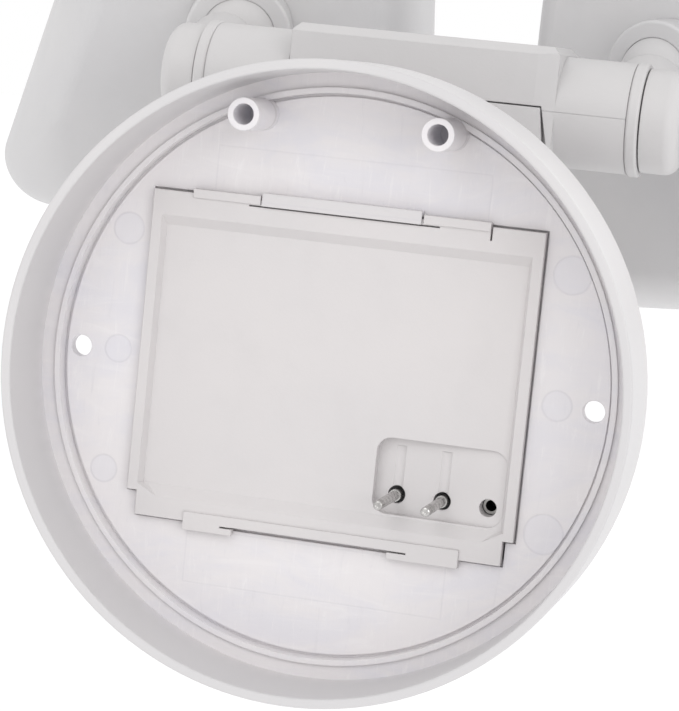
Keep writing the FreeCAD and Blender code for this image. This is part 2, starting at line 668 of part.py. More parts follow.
def arm_bar_solid():
    """The squared middle of the arm and the tube on its -X end, as one solid block."""
    back, front, top = BAR_BACK_Y, BAR_FRONT_Y, BAR_TOP_Z
    low = ARM_Z - TUBE_R - 0.5
    c = BAR_CHAMFER
    section = [V(BAR_X_LOW, y, z) for y, z in (
        (back, low + c), (back, top - c), (back - c, top), (front + c, top),
        (front, top - c), (front, low + c), (front + c, low), (back - c, low))]
    bar = Part.Face(Part.makePolygon(section + section[:1])).extrude(V(BAR_X_HIGH - BAR_X_LOW, 0, 0))
    slope = BAR_END_SLOPE
    for end, inward in ((BAR_X_LOW, 1), (BAR_X_HIGH, -1)):
        points = [V(end, 0, top), V(end + inward * slope, 0, top), V(end, 0, top - slope)]
        bar = bar.cut(Part.Face(Part.makePolygon(points + points[:1])).extrude(V(0, -100, 0)))
    points = [V(BAR_X_LOW, back, 0), V(BAR_X_LOW + BAR_END_FAIR, back, 0),
              V(BAR_X_LOW, back - BAR_END_STEP, 0)]
    bar = bar.cut(Part.Face(Part.makePolygon(points + points[:1])).extrude(V(0, 0, 100)))
    tube = rod(-TUBE_END_LEFT, ARM_Y, ARM_Z, (1, 0, 0), TUBE_R, TUBE_END_LEFT + BAR_X_LOW + 1)
    return fuse([bar, tube])


def arm_hollow():
    inner = TUBE_R - TUBE_WALL
    low = ARM_Z - TUBE_R - 0.5 + BAR_WALL
    room = box(BAR_X_LOW + BAR_WALL, BAR_X_HIGH - BAR_WALL, BAR_FRONT_Y + BAR_WALL,
               HOUSING_BACK_Y - HOUSING_WALL - SEAM - BAR_WALL, low, BAR_TOP_Z - BAR_WALL)
    tube = rod(-TUBE_END_LEFT - 1, ARM_Y, ARM_Z, (1, 0, 0), inner, TUBE_END_LEFT + BAR_X_LOW + 6)
    return [room, tube]


def arm_rebate():
    """Room in the arm's lower back for the housing's tongue."""
    x0 = -TONGUE_REACH - TONGUE_GAP
    depth = HOUSING_BACK_Y - HOUSING_WALL - SEAM
    return plate([(BAR_X_HIGH + 1, ARM_Z + 0.6 + SEAM), (x0, ARM_Z + 0.6 + SEAM),
                  (x0 - REBATE_FLARE, ARM_Z - TUBE_R - 2), (BAR_X_HIGH + 1, ARM_Z - TUBE_R - 2)], depth, 0)


def arm_spigot():
    """Short tube on the +X end of the bar that the sleeve slides over."""
    outer = TUBE_R - TUBE_WALL - 0.1
    return ring_x(BAR_X_HIGH - 1, BAR_X_HIGH + SPIGOT_LENGTH, outer, outer - SPIGOT_T)


def arm_shells():
    solid = cut(fuse([arm_bar_solid(), arm_spigot()]), arm_hollow() + [arm_rebate()])
    solid = solid.cut(rod(BAR_X_HIGH - BAR_WALL - 1, ARM_Y, ARM_Z, (1, 0, 0),
                          TUBE_R - TUBE_WALL - SPIGOT_T - 0.1, 12))
    posts = [rod(x, ARM_SCREW_Y, ARM_Z + SPLIT / 2, (0, 0, 1), ARM_POST_R, BAR_TOP_Z - 1 - ARM_Z)
             for x in ARM_SCREW_X]
    foot = ARM_Z - TUBE_R + 0.5
    low_posts = [rod(x, ARM_SCREW_Y, foot, (0, 0, 1), ARM_POST_R, ARM_Z - SPLIT / 2 - foot)
                 for x in ARM_SCREW_X]
    far = 200
    upper = solid.common(box(-far, far, -far, far, ARM_Z + SPLIT / 2, far))
    lower = solid.common(box(-far, far, -far, far, -far, ARM_Z - SPLIT / 2))
    upper = fuse([upper] + posts)
    lower = fuse([lower] + low_posts)
    bores = [rod(x, ARM_SCREW_Y, ARM_Z, (0, 0, 1), SCREW_R + PRESS_FIT, 8) for x in ARM_SCREW_X]
    ways = [rod(x, ARM_SCREW_Y, 0, (0, 0, 1), SCREW_WAY_R, ARM_Z) for x in ARM_SCREW_X]
    return {"arm_shell_upper": cut(upper, bores), "arm_shell_lower": cut(lower, ways)}


def arm_sleeve():
    return ring_x(BAR_X_HIGH + SLEEVE_GAP, TUBE_END_RIGHT, TUBE_R, TUBE_R - TUBE_WALL)


def arm_screws():
    seat = housing_top_z() - HOUSING_WALL
    length = ARM_Z + 7 - seat
    return Part.makeCompound([screw(x, ARM_SCREW_Y, seat, (0, 0, 1), SCREW_R, length,
                                    SCREW_HEAD_R, SCREW_HEAD_H) for x in ARM_SCREW_X])


def tube_end(side):
    return TUBE_END_RIGHT if side > 0 else TUBE_END_LEFT


def along_x(side, near, far, radius):
    """A rod on the arm axis between two distances from the middle, on one side."""
    return rod(side * near, ARM_Y, ARM_Z, (side, 0, 0), radius, far - near)


def arm_bush(side):
    ring_near = tube_end(side) + RING_GAP
    ring = along_x(side, ring_near, ring_near + RING_T, RING_R)
    edges = [e for e in ring.Edges if isinstance(e.Curve, Part.Circle)]
    ring = ring.makeFillet(RING_EDGE, edges)
    spigot = along_x(side, ring_near - BUSH_DEPTH, ring_near + 0.5, BUSH_R)
    bore = along_x(side, ring_near - BUSH_DEPTH - 1, ring_near + RING_T + 1, SHAFT_R + RUN_FIT)
    return fuse([ring, spigot]).cut(bore)


# ------------------------------------------------------------------ elbows and heads

def ball_centre(side):
    rise = math.radians(NECK_PITCH)
    return V(side * NECK_X, ARM_Y - NECK_LENGTH * math.cos(rise), ARM_Z + NECK_LENGTH * math.sin(rise))


def elbow(side):
    rise = math.radians(NECK_PITCH)
    way = V(0, -math.cos(rise), math.sin(rise))
    root = V(side * NECK_X, ARM_Y, ARM_Z)
    ring_near = tube_end(side) + RING_GAP
    hub_near = ring_near + RING_T + HUB_GAP
    hub = along_x(side, hub_near, hub_near + HUB_W, HUB_R)
    outer = [e for e in hub.Edges if isinstance(e.Curve, Part.Circle)
             and abs(abs(e.Curve.Center.x) - hub_near - HUB_W) < 0.01]
    hub = hub.makeFillet(HUB_FILLET, outer)
    neck = Part.makeCylinder(NECK_R, NECK_LENGTH - BALL_R - 2.5, root, way)
    waist = Part.makeCylinder(NECK_WAIST_R, NECK_LENGTH - 2, root, way)
    saddle = along_x(side, 10, hub_near - 0.1, RING_R + 0.45)
    neck = neck.fuse(waist).cut(saddle)
    ball = Part.makeSphere(BALL_R, ball_centre(side))
    shaft_near = ring_near - BUSH_DEPTH - WASHER_T - NUT_T - 1.2
    shaft = along_x(side, shaft_near, hub_near + 1, SHAFT_R)
    solid = fuse([hub, neck, ball, shaft])
    bore = along_x(side, shaft_near - 1, hub_near + HUB_W - HUB_END_WALL, HUB_BORE_R)
    channel = Part.makeCylinder(WIRE_R, NECK_LENGTH + BALL_R + 2, root, way)
    return cut(solid, [bore, channel])


def elbow_nut(side):
    far = tube_end(side) + RING_GAP - BUSH_DEPTH - WASHER_T - 0.2
    corners = []
    for i in range(6):
        angle = math.radians(60 * i)
        corners.append(V(side * (far - NUT_T), ARM_Y + NUT_R * math.cos(angle),
                         ARM_Z + NUT_R * math.sin(angle)))
    nut = Part.Face(Part.makePolygon(corners + corners[:1])).extrude(V(side * NUT_T, 0, 0))
    return nut.cut(along_x(side, far - NUT_T - 1, far + 1, SHAFT_R + PRESS_FIT))


def elbow_washer(side):
    far = tube_end(side) + RING_GAP - BUSH_DEPTH - 0.1
    washer = along_x(side, far - WASHER_T, far, NUT_R)
    return washer.cut(along_x(side, far - WASHER_T - 1, far + 1, SHAFT_R + PRESS_FIT))


def head_corners(inset):
    lean = math.radians(HEAD_LEAN)
    low = HEAD_LOW_Z + inset
    high = HEAD_HIGH_Z - inset
    half_low = HEAD_HALF_W - inset / math.cos(lean) - inset * math.tan(lean)
    half_high = half_low - (high - low) * math.tan(lean)
    return [(half_low, low), (half_high, high), (-half_high, high), (-half_low, low)]


def head_plate(inset, y0, y1):
    return rounded_plate(head_corners(inset), HEAD_CORNER, y0, y1)


def head_ring(outer, inner, y0, y1):
    return head_plate(outer, y0, y1).cut(head_plate(inner, y0 - 1, y1 + 1))


def head_pod(sections):
    wires = [rounded_outline(head_corners(inset), HEAD_CORNER + inset * 0.35, y)
             for inset, y in sections]
    return Part.makeLoft(wires, True, False)


def head_front():
    return HEAD_BACK - HEAD_DEPTH


def ledge_front():
    return head_front() + HEAD_LEDGE_Y


def head_screw_places():
    return [(x, z) for x in (HEAD_SCREW_X, -HEAD_SCREW_X) for z in (HEAD_SCREW_Z, -HEAD_SCREW_Z)]


def head_screw_holes(radius, y0, length):
    return [rod(x, y0, z, (0, 1, 0), radius, length) for x, z in head_screw_places()]


def head_shell():
    front = head_front()
    depth = HEAD_DEPTH
    outer = head_pod([(inset, front + depth * share) for inset, share in HEAD_SHAPE])
    reach = depth - HEAD_WALL
    inner = head_pod([(inset + HEAD_WALL, front - 0.5 + (reach + 0.5) * share)
                      for inset, share in HEAD_SHAPE])
    ledge = head_ring(HEAD_WALL - 0.4, HEAD_WALL + HEAD_LEDGE, ledge_front(),
                      ledge_front() + HEAD_LEDGE_T)
    bosses = [rod(x, HEAD_BOSS_Y, z, (0, 1, 0), HEAD_BOSS_R, HEAD_BACK - 1.0 - HEAD_BOSS_Y)
              for x, z in head_screw_places()]
    shell = fuse([outer.cut(inner), ledge] + bosses)
    tools = [rod(0, -20, 0, (0, 1, 0), BARREL_R + RUN_FIT, 30)]
    tools += head_screw_holes(SCREW_R + PRESS_FIT, HEAD_BOSS_Y - 1, 10)
    return cut(shell, tools)


def ball_socket():
    flange = rod(0, FLANGE_FRONT, 0, (0, 1, 0), FLANGE_R, FLANGE_BACK - FLANGE_FRONT)
    flange = flange.makeFillet(FLANGE_EDGE, round_edges(flange, FLANGE_BACK))
    barrel = rod(0, BARREL_FRONT, 0, (0, 1, 0), BARREL_R, FLANGE_FRONT - BARREL_FRONT + 0.5)
    lip_back = HEAD_BACK - HEAD_WALL - 0.3
    lip = rod(0, lip_back - SOCKET_LIP, 0, (0, 1, 0), BARREL_R + 1.0, SOCKET_LIP)
    solid = fuse([flange, barrel, lip])
    return cut(solid, [Part.makeSphere(BALL_R + RUN_FIT),
                       rod(0, BARREL_FRONT - 1, 0, (0, 1, 0), WIRE_R + 1.5, 8)])


def head_bezel():
    front = head_front() + BEZEL_INSET
    edge = HEAD_WALL + BEZEL_GAP
    face = head_ring(edge, edge + BEZEL_W, front, front + BEZEL_T)
    skirt = head_ring(edge, edge + BEZEL_SKIRT, front, ledge_front() - STACK_GAP)
    return fuse([face, skirt])


def lens_front():
    return head_front() + BEZEL_INSET + BEZEL_T + STACK_GAP


def head_lens():
    return head_plate(HEAD_WALL + LENS_GAP, lens_front(), lens_front() + LENS_T)


def head_gasket():
    edge = HEAD_WALL + LENS_GAP
    return head_ring(edge, edge + GASKET_W, lens_front() + LENS_T, ledge_front() - STACK_GAP / 2)


def heat_sink():
    base = head_plate(SINK_INSET, SINK_FRONT, SINK_FRONT + SINK_T)
    fins = []
    for i in range(-3, 4):
        x = i * FIN_PITCH
        fins.append(box(x - FIN_T / 2, x + FIN_T / 2, SINK_FRONT + SINK_T - 0.2, FIN_BACK,
                        HEAD_LOW_Z + FIN_LOW, HEAD_HIGH_Z - FIN_HIGH))
    return cut(fuse([base] + fins), head_screw_holes(SCREW_WAY_R, SINK_FRONT - 2, 8))


def led_board():
    board = head_plate(SINK_INSET, LED_BOARD_FRONT, LED_BOARD_FRONT + BOARD_T)
    return cut(board, head_screw_holes(SCREW_WAY_R, LED_BOARD_FRONT - 1, 8))


def led_chips():
    chips = []
    back = LED_BOARD_FRONT - 0.05
    half = LED_SIZE / 2
    for column in range(LED_COLUMNS):
        for row in range(LED_ROWS):
            x = (column - (LED_COLUMNS - 1) / 2) * LED_PITCH
            z = (row - (LED_ROWS - 1) / 2) * LED_PITCH + (HEAD_LOW_Z + HEAD_HIGH_Z) / 2
            chips.append(box(x - half, x + half, back - LED_T, back, z - half, z + half))
    return Part.makeCompound(chips)


def head_screws():
    seat = LED_BOARD_FRONT - 0.1
    return Part.makeCompound([screw(x, seat, z, (0, 1, 0), SCREW_R, 12, SCREW_HEAD_R, SCREW_HEAD_H)
                              for x, z in head_screw_places()])


def head_placement(name):
    side = SIDES[name]
    tilt, pan, roll = HEAD_POSE[name]
    turn = FreeCAD.Rotation(V(1, 0, 0), -tilt)
    turn = turn.multiply(FreeCAD.Rotation(V(0, 0, 1), side * pan))
    turn = turn.multiply(FreeCAD.Rotation(V(0, 1, 0), -side * roll))
    return FreeCAD.Placement(ball_centre(side), turn)


def placed(shape, placement):
    moved = shape.copy()
    moved.transformShape(placement.toMatrix())
    return moved


def head_nodes(name):
    side = SIDES[name]
    placement = head_placement(name)
    pieces = {"ball_socket": ball_socket(), "head_shell": head_shell(), "head_bezel": head_bezel(),
              "head_lens": head_lens(), "head_gasket": head_gasket(), "heat_sink": heat_sink(),
              "led_board": led_board(), "led_chips": led_chips(), "head_screws": head_screws()}
    nodes = {piece + "_" + name: placed(shape, placement) for piece, shape in pieces.items()}
    nodes["elbow_" + name] = elbow(side)
    nodes["elbow_nut_" + name] = elbow_nut(side)
    nodes["elbow_washer_" + name] = elbow_washer(side)
    nodes["arm_bush_" + name] = arm_bush(side)
    return nodes


# ------------------------------------------------------------------ inside and on the housing

def pir_lens():
    """The sensor's dome with its stem and the flange that holds it behind the housing's front."""
    inside = HOUSING_FRONT_Y + HOUSING_WALL
    radius = (PIR_R ** 2 + PIR_REACH ** 2) / (2 * PIR_REACH)
    tip = HOUSING_FRONT_Y - PIR_REACH
    centre = V(0, tip + radius, PIR_Z)
    room_r = PIR_R - PIR_STEM_WALL
    dome = Part.makeSphere(radius, centre).common(rod(0, tip, PIR_Z, (0, 1, 0), PIR_R, PIR_REACH))
    stem = rod(0, HOUSING_FRONT_Y - 0.2, PIR_Z, (0, 1, 0), PIR_R, HOUSING_WALL + 1.4)
    flange = rod(0, inside + STACK_GAP, PIR_Z, (0, 1, 0), PIR_R + 1.3, 1.2)
    hollow = Part.makeSphere(radius - PIR_WALL, centre)
    hollow = hollow.common(rod(0, tip, PIR_Z, (0, 1, 0), room_r, PIR_REACH))
    bore = rod(0, HOUSING_FRONT_Y - 0.2, PIR_Z, (0, 1, 0), room_r, 6)
    return cut(fuse([dome, stem, flange]), [hollow, bore])


def housing_electronics():
    half = HOUSING_HALF_W - MAIN_BOARD_INSET
    foot = HOUSING_BOTTOM_Z + MAIN_BOARD_FOOT
    board = box(-half, half, MAIN_BOARD_Y - BOARD_T, MAIN_BOARD_Y, foot, housing_top_z() - 12)
    front = MAIN_BOARD_Y - BOARD_T
    x0, x1, z0, z1 = SHIELD_CAN
    can = box(x0, x1, front - SHIELD_CAN_H, front, z0, z1)
    sensor = rod(0, front - SENSOR_H, PIR_Z, (0, 1, 0), SENSOR_R, SENSOR_H)
    switch = box(BUTTON_X - SWITCH_HALF_W, BUTTON_X + SWITCH_HALF_W, front - SWITCH_REACH, front,
                 foot + 0.2, foot + SWITCH_H)
    inside = HOUSING_FRONT_Y + HOUSING_WALL + STACK_GAP
    cone = rod(0, inside, SPEAKER_Z, (0, 1, 0), SPEAKER_R, SPEAKER_CONE_T)
    magnet = rod(0, inside + SPEAKER_CONE_T - 0.1, SPEAKER_Z, (0, 1, 0), SPEAKER_R * 0.6,
                 SPEAKER_MAGNET_T)
    return {"main_board": board, "shield_can": can, "pir_sensor": sensor, "button_switch": switch,
            "speaker": fuse([cone, magnet]), "pir_lens": pir_lens()}


def setup_button():
    base = HOUSING_BOTTOM_Z
    top = base + MAIN_BOARD_FOOT + 0.2 - BUTTON_TRAVEL - 0.3
    inside = base + HOUSING_WALL
    cap = rod(BUTTON_X, BUTTON_Y, base - BUTTON_PROUD, (0, 0, 1), BUTTON_R,
              BUTTON_PROUD + HOUSING_WALL + 0.5)
    flange = rod(BUTTON_X, BUTTON_Y, inside + 0.2, (0, 0, 1), BUTTON_R + 0.6, 1.0)
    plunger = rod(BUTTON_X, BUTTON_Y, inside, (0, 0, 1), PLUNGER_R, top - inside)
    return fuse([cap, flange, plunger])


# ------------------------------------------------------------------ camera

def camera_mount():
    plate_y = HOUSING_FRONT_Y - STACK_GAP
    base = rod(0, plate_y - MOUNT_PAD_T, CAM_Z, (0, 1, 0), MOUNT_PAD_R, MOUNT_PAD_T)
    reach = KNUCKLE_R + EAR_GAP
    ears = []
    for low in (CAM_Z + reach, CAM_Z - reach - EAR_T):
        lug = rod(0, PAN_Y, low, (0, 0, 1), KNUCKLE_R, EAR_T)
        web = box(-KNUCKLE_R, KNUCKLE_R, PAN_Y, plate_y - 0.5, low, low + EAR_T)
        ears += [lug, web]
    solid = fuse([base] + ears)
    return solid.cut(rod(0, PAN_Y, CAM_Z - 20, (0, 0, 1), PIVOT_PIN_R + PRESS_FIT, 40))


def camera_knuckle():
    barrel = rod(0, PAN_Y, CAM_Z - KNUCKLE_R, (0, 0, 1), KNUCKLE_R, 2 * KNUCKLE_R)
    cross = rod(-KNUCKLE_R, TILT_Y, CAM_Z, (1, 0, 0), KNUCKLE_R, 2 * KNUCKLE_R)
    web = box(-WEB_HALF_W, WEB_HALF_W, TILT_Y, PAN_Y, CAM_Z - WEB_HALF_H, CAM_Z + WEB_HALF_H)
    solid = fuse([barrel, cross, web])
    bores = [rod(0, PAN_Y, CAM_Z - 20, (0, 0, 1), PIVOT_PIN_R + RUN_FIT, 40),
             rod(-20, TILT_Y, CAM_Z, (1, 0, 0), PIVOT_PIN_R + RUN_FIT, 40)]
    return cut(solid, bores)


def pivot_pin(x, y, z, axis):
    """A headed pin through two ears, with its head on the far ear."""
    reach = KNUCKLE_R + EAR_GAP + EAR_T
    way = V(*axis)
    start = V(x, y, z) - way * reach
    shank = Part.makeCylinder(PIVOT_PIN_R, 2 * reach + 0.8, start, way)
    head = Part.makeCylinder(PIVOT_PIN_R + PIVOT_HEAD, PIVOT_HEAD, start - way * PIVOT_HEAD, way)
    return fuse([shank, head])


def camera_rear_shell():
    long = CAM_BACK_Y - CAM_SPLIT_Y
    rear = rod(0, CAM_SPLIT_Y, CAM_Z, (0, 1, 0), CAM_R, long)
    rear = rear.makeFillet(CAM_BACK_ROUND, round_edges(rear, CAM_BACK_Y))
    room = rod(0, CAM_SPLIT_Y - 1, CAM_Z, (0, 1, 0), CAM_R - CAM_WALL, long - CAM_WALL - 3.0)
    rear = rear.cut(room)
    reach = KNUCKLE_R + EAR_GAP
    ears = []
    for low in (reach, -reach - EAR_T):
        lug = rod(low, TILT_Y, CAM_Z, (1, 0, 0), KNUCKLE_R, EAR_T)
        web = box(low, low + EAR_T, CAM_BACK_Y - 2, TILT_Y, CAM_Z - KNUCKLE_R, CAM_Z + KNUCKLE_R)
        ears += [lug, web]
    return fuse([rear] + ears).cut(rod(-20, TILT_Y, CAM_Z, (1, 0, 0), PIVOT_PIN_R + PRESS_FIT, 40))


def camera_front_shell():
    back = CAM_SPLIT_Y - SEAM / 2
    front = rod(0, CAM_FRONT_Y, CAM_Z, (0, 1, 0), CAM_R, back - CAM_FRONT_Y)
    front = front.makeFillet(CAM_NOSE_ROUND, round_edges(front, CAM_FRONT_Y))
    hood = rod(0, CAM_FRONT_Y - 1, CAM_Z, (0, 1, 0), CAM_R - CAM_WALL, CAM_HOOD + 1)
    seat = rod(0, CAM_FRONT_Y, CAM_Z, (0, 1, 0), CAM_R - CAM_WALL - CAM_SEAT_W,
               back - CAM_FRONT_Y + 1)
    return front.cut(hood).cut(seat)


def camera_insides():
    window_y = CAM_FRONT_Y + CAM_HOOD
    window_front = window_y - STACK_GAP - WINDOW_T
    window = rod(0, window_front, CAM_Z, (0, 1, 0), CAM_R - CAM_WALL - 0.15, WINDOW_T)
    window = window.cut(rod(0, window_front - 1, CAM_Z, (0, 1, 0), WINDOW_BORE_R, 5))
    board_y = CAM_SPLIT_Y - CAM_BOARD_BACK
    board = rod(0, board_y, CAM_Z, (0, 1, 0), CAM_R - CAM_WALL - CAM_SEAT_W - 0.4, BOARD_T)
    barrel = rod(0, window_y - 0.2, CAM_Z, (0, 1, 0), BARREL_TUBE_R, board_y - window_y + 0.1)
    collar = rod(0, board_y - BARREL_COLLAR_H - 0.1, CAM_Z, (0, 1, 0), BARREL_COLLAR_R,
                 BARREL_COLLAR_H)
    well = rod(0, window_y - 1, CAM_Z, (0, 1, 0), BARREL_WELL_R, BARREL_WELL + 1)
    barrel = fuse([barrel, collar]).cut(well)
    dome = Part.makeSphere(CAM_LENS_ROUND, V(0, window_y + 0.6 + CAM_LENS_ROUND, CAM_Z))
    lens = dome.common(rod(0, window_y + 0.2, CAM_Z, (0, 1, 0), CAM_LENS_R, BARREL_WELL - 0.3))
    lamps = []
    for i in range(6):
        angle = math.radians(60 * i + 30)
        x = LAMP_CIRCLE_R * math.cos(angle)
        z = CAM_Z + LAMP_CIRCLE_R * math.sin(angle)
        lamps.append(rod(x, window_y + 1.0, z, (0, 1, 0), LAMP_R, board_y - window_y - 1.1))
    return {"camera_window": window, "camera_board": board, "camera_lens_barrel": barrel,
            "camera_lens": lens, "camera_ir_leds": Part.makeCompound(lamps)}


def all_nodes():
    nodes = {"canopy_shell": canopy_shell(), "bay_cover": bay_cover()}
    nodes.update(contact_parts())
    nodes.update(driver_parts())
    nodes["housing_rear"] = housing_rear()
    nodes["housing_front"] = housing_front()
    nodes["housing_screws"] = housing_screws()
    nodes.update(arm_shells())
    nodes["arm_sleeve"] = arm_sleeve()
    nodes["arm_screws"] = arm_screws()
    for name in SIDES:
        nodes.update(head_nodes(name))
    nodes.update(housing_electronics())
    nodes["setup_button"] = setup_button()
    nodes["camera_mount"] = camera_mount()
    nodes["camera_knuckle"] = camera_knuckle()
    nodes["camera_pan_pin"] = pivot_pin(0, PAN_Y, CAM_Z, (0, 0, 1))
    nodes["camera_tilt_pin"] = pivot_pin(0, TILT_Y, CAM_Z, (1, 0, 0))
    nodes["camera_rear_shell"] = camera_rear_shell()
    nodes["camera_front_shell"] = camera_front_shell()
    nodes.update(camera_insides())
    return nodes


os.makedirs("parts", exist_ok=True)
for node, shape in all_nodes().items():
    shape.exportStep("parts/" + node + ".step")
    print("%-22s solids %d valid %s volume %8.0f" % (
        node, len(shape.Solids), shape.isValid(), shape.Volume))
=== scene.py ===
import bmesh
import bpy
import json
import math
from mathutils import Matrix, Vector


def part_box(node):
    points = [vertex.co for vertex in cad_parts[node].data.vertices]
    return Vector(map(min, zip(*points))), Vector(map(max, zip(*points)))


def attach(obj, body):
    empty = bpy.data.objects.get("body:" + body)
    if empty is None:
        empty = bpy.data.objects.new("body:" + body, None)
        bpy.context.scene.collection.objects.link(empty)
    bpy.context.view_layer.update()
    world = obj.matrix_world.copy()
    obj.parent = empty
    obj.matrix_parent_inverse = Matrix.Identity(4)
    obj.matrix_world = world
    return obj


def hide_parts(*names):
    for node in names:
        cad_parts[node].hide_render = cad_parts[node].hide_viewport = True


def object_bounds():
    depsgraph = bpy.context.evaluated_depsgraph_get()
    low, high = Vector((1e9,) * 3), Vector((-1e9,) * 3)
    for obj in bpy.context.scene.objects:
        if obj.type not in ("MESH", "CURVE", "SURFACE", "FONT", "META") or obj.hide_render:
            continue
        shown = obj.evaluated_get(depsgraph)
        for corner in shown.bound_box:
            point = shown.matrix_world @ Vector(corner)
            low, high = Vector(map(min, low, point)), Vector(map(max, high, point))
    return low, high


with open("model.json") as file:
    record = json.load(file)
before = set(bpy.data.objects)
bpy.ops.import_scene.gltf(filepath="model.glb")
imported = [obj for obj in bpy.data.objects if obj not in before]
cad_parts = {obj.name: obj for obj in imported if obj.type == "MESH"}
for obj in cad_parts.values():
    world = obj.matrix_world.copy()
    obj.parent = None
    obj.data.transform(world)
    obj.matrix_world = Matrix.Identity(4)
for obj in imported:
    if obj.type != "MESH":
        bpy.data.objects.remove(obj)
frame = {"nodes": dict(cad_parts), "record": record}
cad_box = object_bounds()
nodes = frame["nodes"]

MM = 0.001
MOUNTS = {mount["name"]: mount for mount in frame["record"]["mounts"]}
BODY_OF = {node: body
           for body, members in frame["record"]["behaviour"]["bodies"].items()
           for node in members}
MERGE = 1e-6         # vertices closer than this, in metres, are one


# ---------------------------------------------------------------- shader maths

class Value:
    """One output socket of a finish, with arithmetic that adds Math nodes."""

    def __init__(self, finish, socket):
        self.finish = finish
        self.socket = socket

    def maths(self, operation, *terms):
        return self.finish.add("Math", {"operation": operation}, dict(enumerate(terms)))

    def __add__(self, other):
        return self.maths("ADD", self, other)

    def __radd__(self, other):
        return self.maths("ADD", other, self)

    def __sub__(self, other):
        return self.maths("SUBTRACT", self, other)

    def __rsub__(self, other):
        return self.maths("SUBTRACT", other, self)

    def __mul__(self, other):
        return self.maths("MULTIPLY", self, other)

    def __rmul__(self, other):
        return self.maths("MULTIPLY", other, self)

    def __abs__(self):
        return self.maths("ABSOLUTE", self)

    def root(self):
        return self.maths("SQRT", self)

    def largest(self, other):
        return self.maths("MAXIMUM", self, other)

    def between(self, low, high):
        """0 at low, 1 at high, smooth in between."""
        return self.finish.add("MapRange", {"interpolation_type": "SMOOTHSTEP"},
                               {"Value": self, "From Min": low, "From Max": high})


class Finish:
    """A named material, built up node by node."""

    def __init__(self, name):
        self.material = bpy.data.materials.new(name)
        self.material.use_nodes = True
        self.tree = self.material.node_tree
        self.tree.nodes.clear()

    def add(self, kind, settings=None, inputs=None, out=0):
        """A node of that type: its settings, then the values or links of its sockets."""
        node = self.tree.nodes.new("ShaderNode" + kind)
        for name, value in (settings or {}).items():
            setattr(node, name, value)
        for name, value in (inputs or {}).items():
            if isinstance(value, Value):
                self.tree.links.new(value.socket, node.inputs[name])
            elif isinstance(value, tuple) and node.inputs[name].type == "RGBA":
                node.inputs[name].default_value = (*value, 1.0)
            else:
                node.inputs[name].default_value = value
        return Value(self, node.outputs[out]) if len(node.outputs) else None

    def place(self):
        return self.add("TexCoord", out="Object")

    def axes(self):
        """The x, y and z of the object's own place, in metres."""
        split = self.add("SeparateXYZ", {}, {"Vector": self.place()})
        return [Value(self, split.socket.node.outputs[i]) for i in range(3)]

    def stretched(self, scale, turn=(0.0, 0.0, 0.0)):
        """The object's own place, scaled along its axes and turned."""
        return self.add("Mapping", {},
                        {"Vector": self.place(), "Scale": scale, "Rotation": turn})

    def noise(self, scale, detail=2.0, rough=0.5, place=None, distortion=0.0):
        return self.add("TexNoise", {},
                        {"Vector": place or self.place(), "Scale": scale, "Detail": detail,
                         "Roughness": rough, "Distortion": distortion})

    def pits(self, scale):
        return self.add("TexVoronoi", {"feature": "F1"},
                        {"Vector": self.place(), "Scale": scale})

    def mix(self, amount, first, second):
        """A colour between two colours."""
        return self.add("Mix", {"data_type": "RGBA"}, {0: amount, 6: first, 7: second}, out=2)

    def bump(self, height, depth, under=None):
        """A normal raised by a height, over the one under it. The depth is in metres."""
        inputs = {"Height": height, "Distance": depth}
        if under is not None:
            inputs["Normal"] = under
        return self.add("Bump", {}, inputs)

    def soft_edges(self, radius):
        return self.add("Bevel", {"samples": 4}, {"Radius": radius})

    def edge_mask(self, rounded):
        """0 on a flat, towards 1 at a worn edge, from the rounded normal and the true one."""
        true = self.add("NewGeometry", out="True Normal")
        facing = self.add("VectorMath", {"operation": "DOT_PRODUCT"}, {0: rounded, 1: true},
                          out="Value")
        return (1.0 - facing).between(0.01, 0.3)

    def surface(self, **sockets):
        """The shader itself. Names use underscores for spaces."""
        inputs = {name.replace("_", " "): value for name, value in sockets.items()}
        shader = self.add("BsdfPrincipled", {}, inputs)
        self.add("OutputMaterial", {}, {"Surface": shader})
        return self.material


# ---------------------------------------------------------------- finishes

def moulded_plastic(name, colour, tint, rough=0.48, grain=1700.0, grain_depth=0.02, edge=0.35,
                    wear=0.06):
    """Satin injection moulding: fine spark grain, slow colour drift, faint scuffs, softened edges.

    The grain's depth and the edge's radius are in millimetres.
    """
    f = Finish(name)
    drift = f.noise(22.0, 3.0)
    haze = f.noise(90.0, 4.0, 0.6)
    base = f.mix(drift.between(0.3, 0.7), colour, tint)
    base = f.mix(haze.between(0.45, 0.8) * 0.16, base, tuple(0.86 * c for c in colour))
    rounded = f.soft_edges(edge * MM)
    worn = f.edge_mask(rounded)
    base = f.mix(worn * wear, base, tuple(min(1.0, 1.12 * c) for c in colour))
    scratches = f.noise(60.0, 6.0, 0.7, f.stretched((1.0, 0.2, 3.0), (0.3, 0.6, 0.2)))
    scuffs = scratches.between(0.6, 0.72)
    grains = f.noise(grain, 2.0) + f.pits(grain * 0.7) * 0.4
    height = grains + f.noise(140.0, 2.0) * 0.8
    normal = f.bump(height, grain_depth * MM, rounded)
    shine = rough + 0.12 * scuffs + 0.08 * (haze - 0.5) - 0.08 * worn
    return f.surface(Base_Color=base, Roughness=shine, Normal=normal, IOR=1.47)


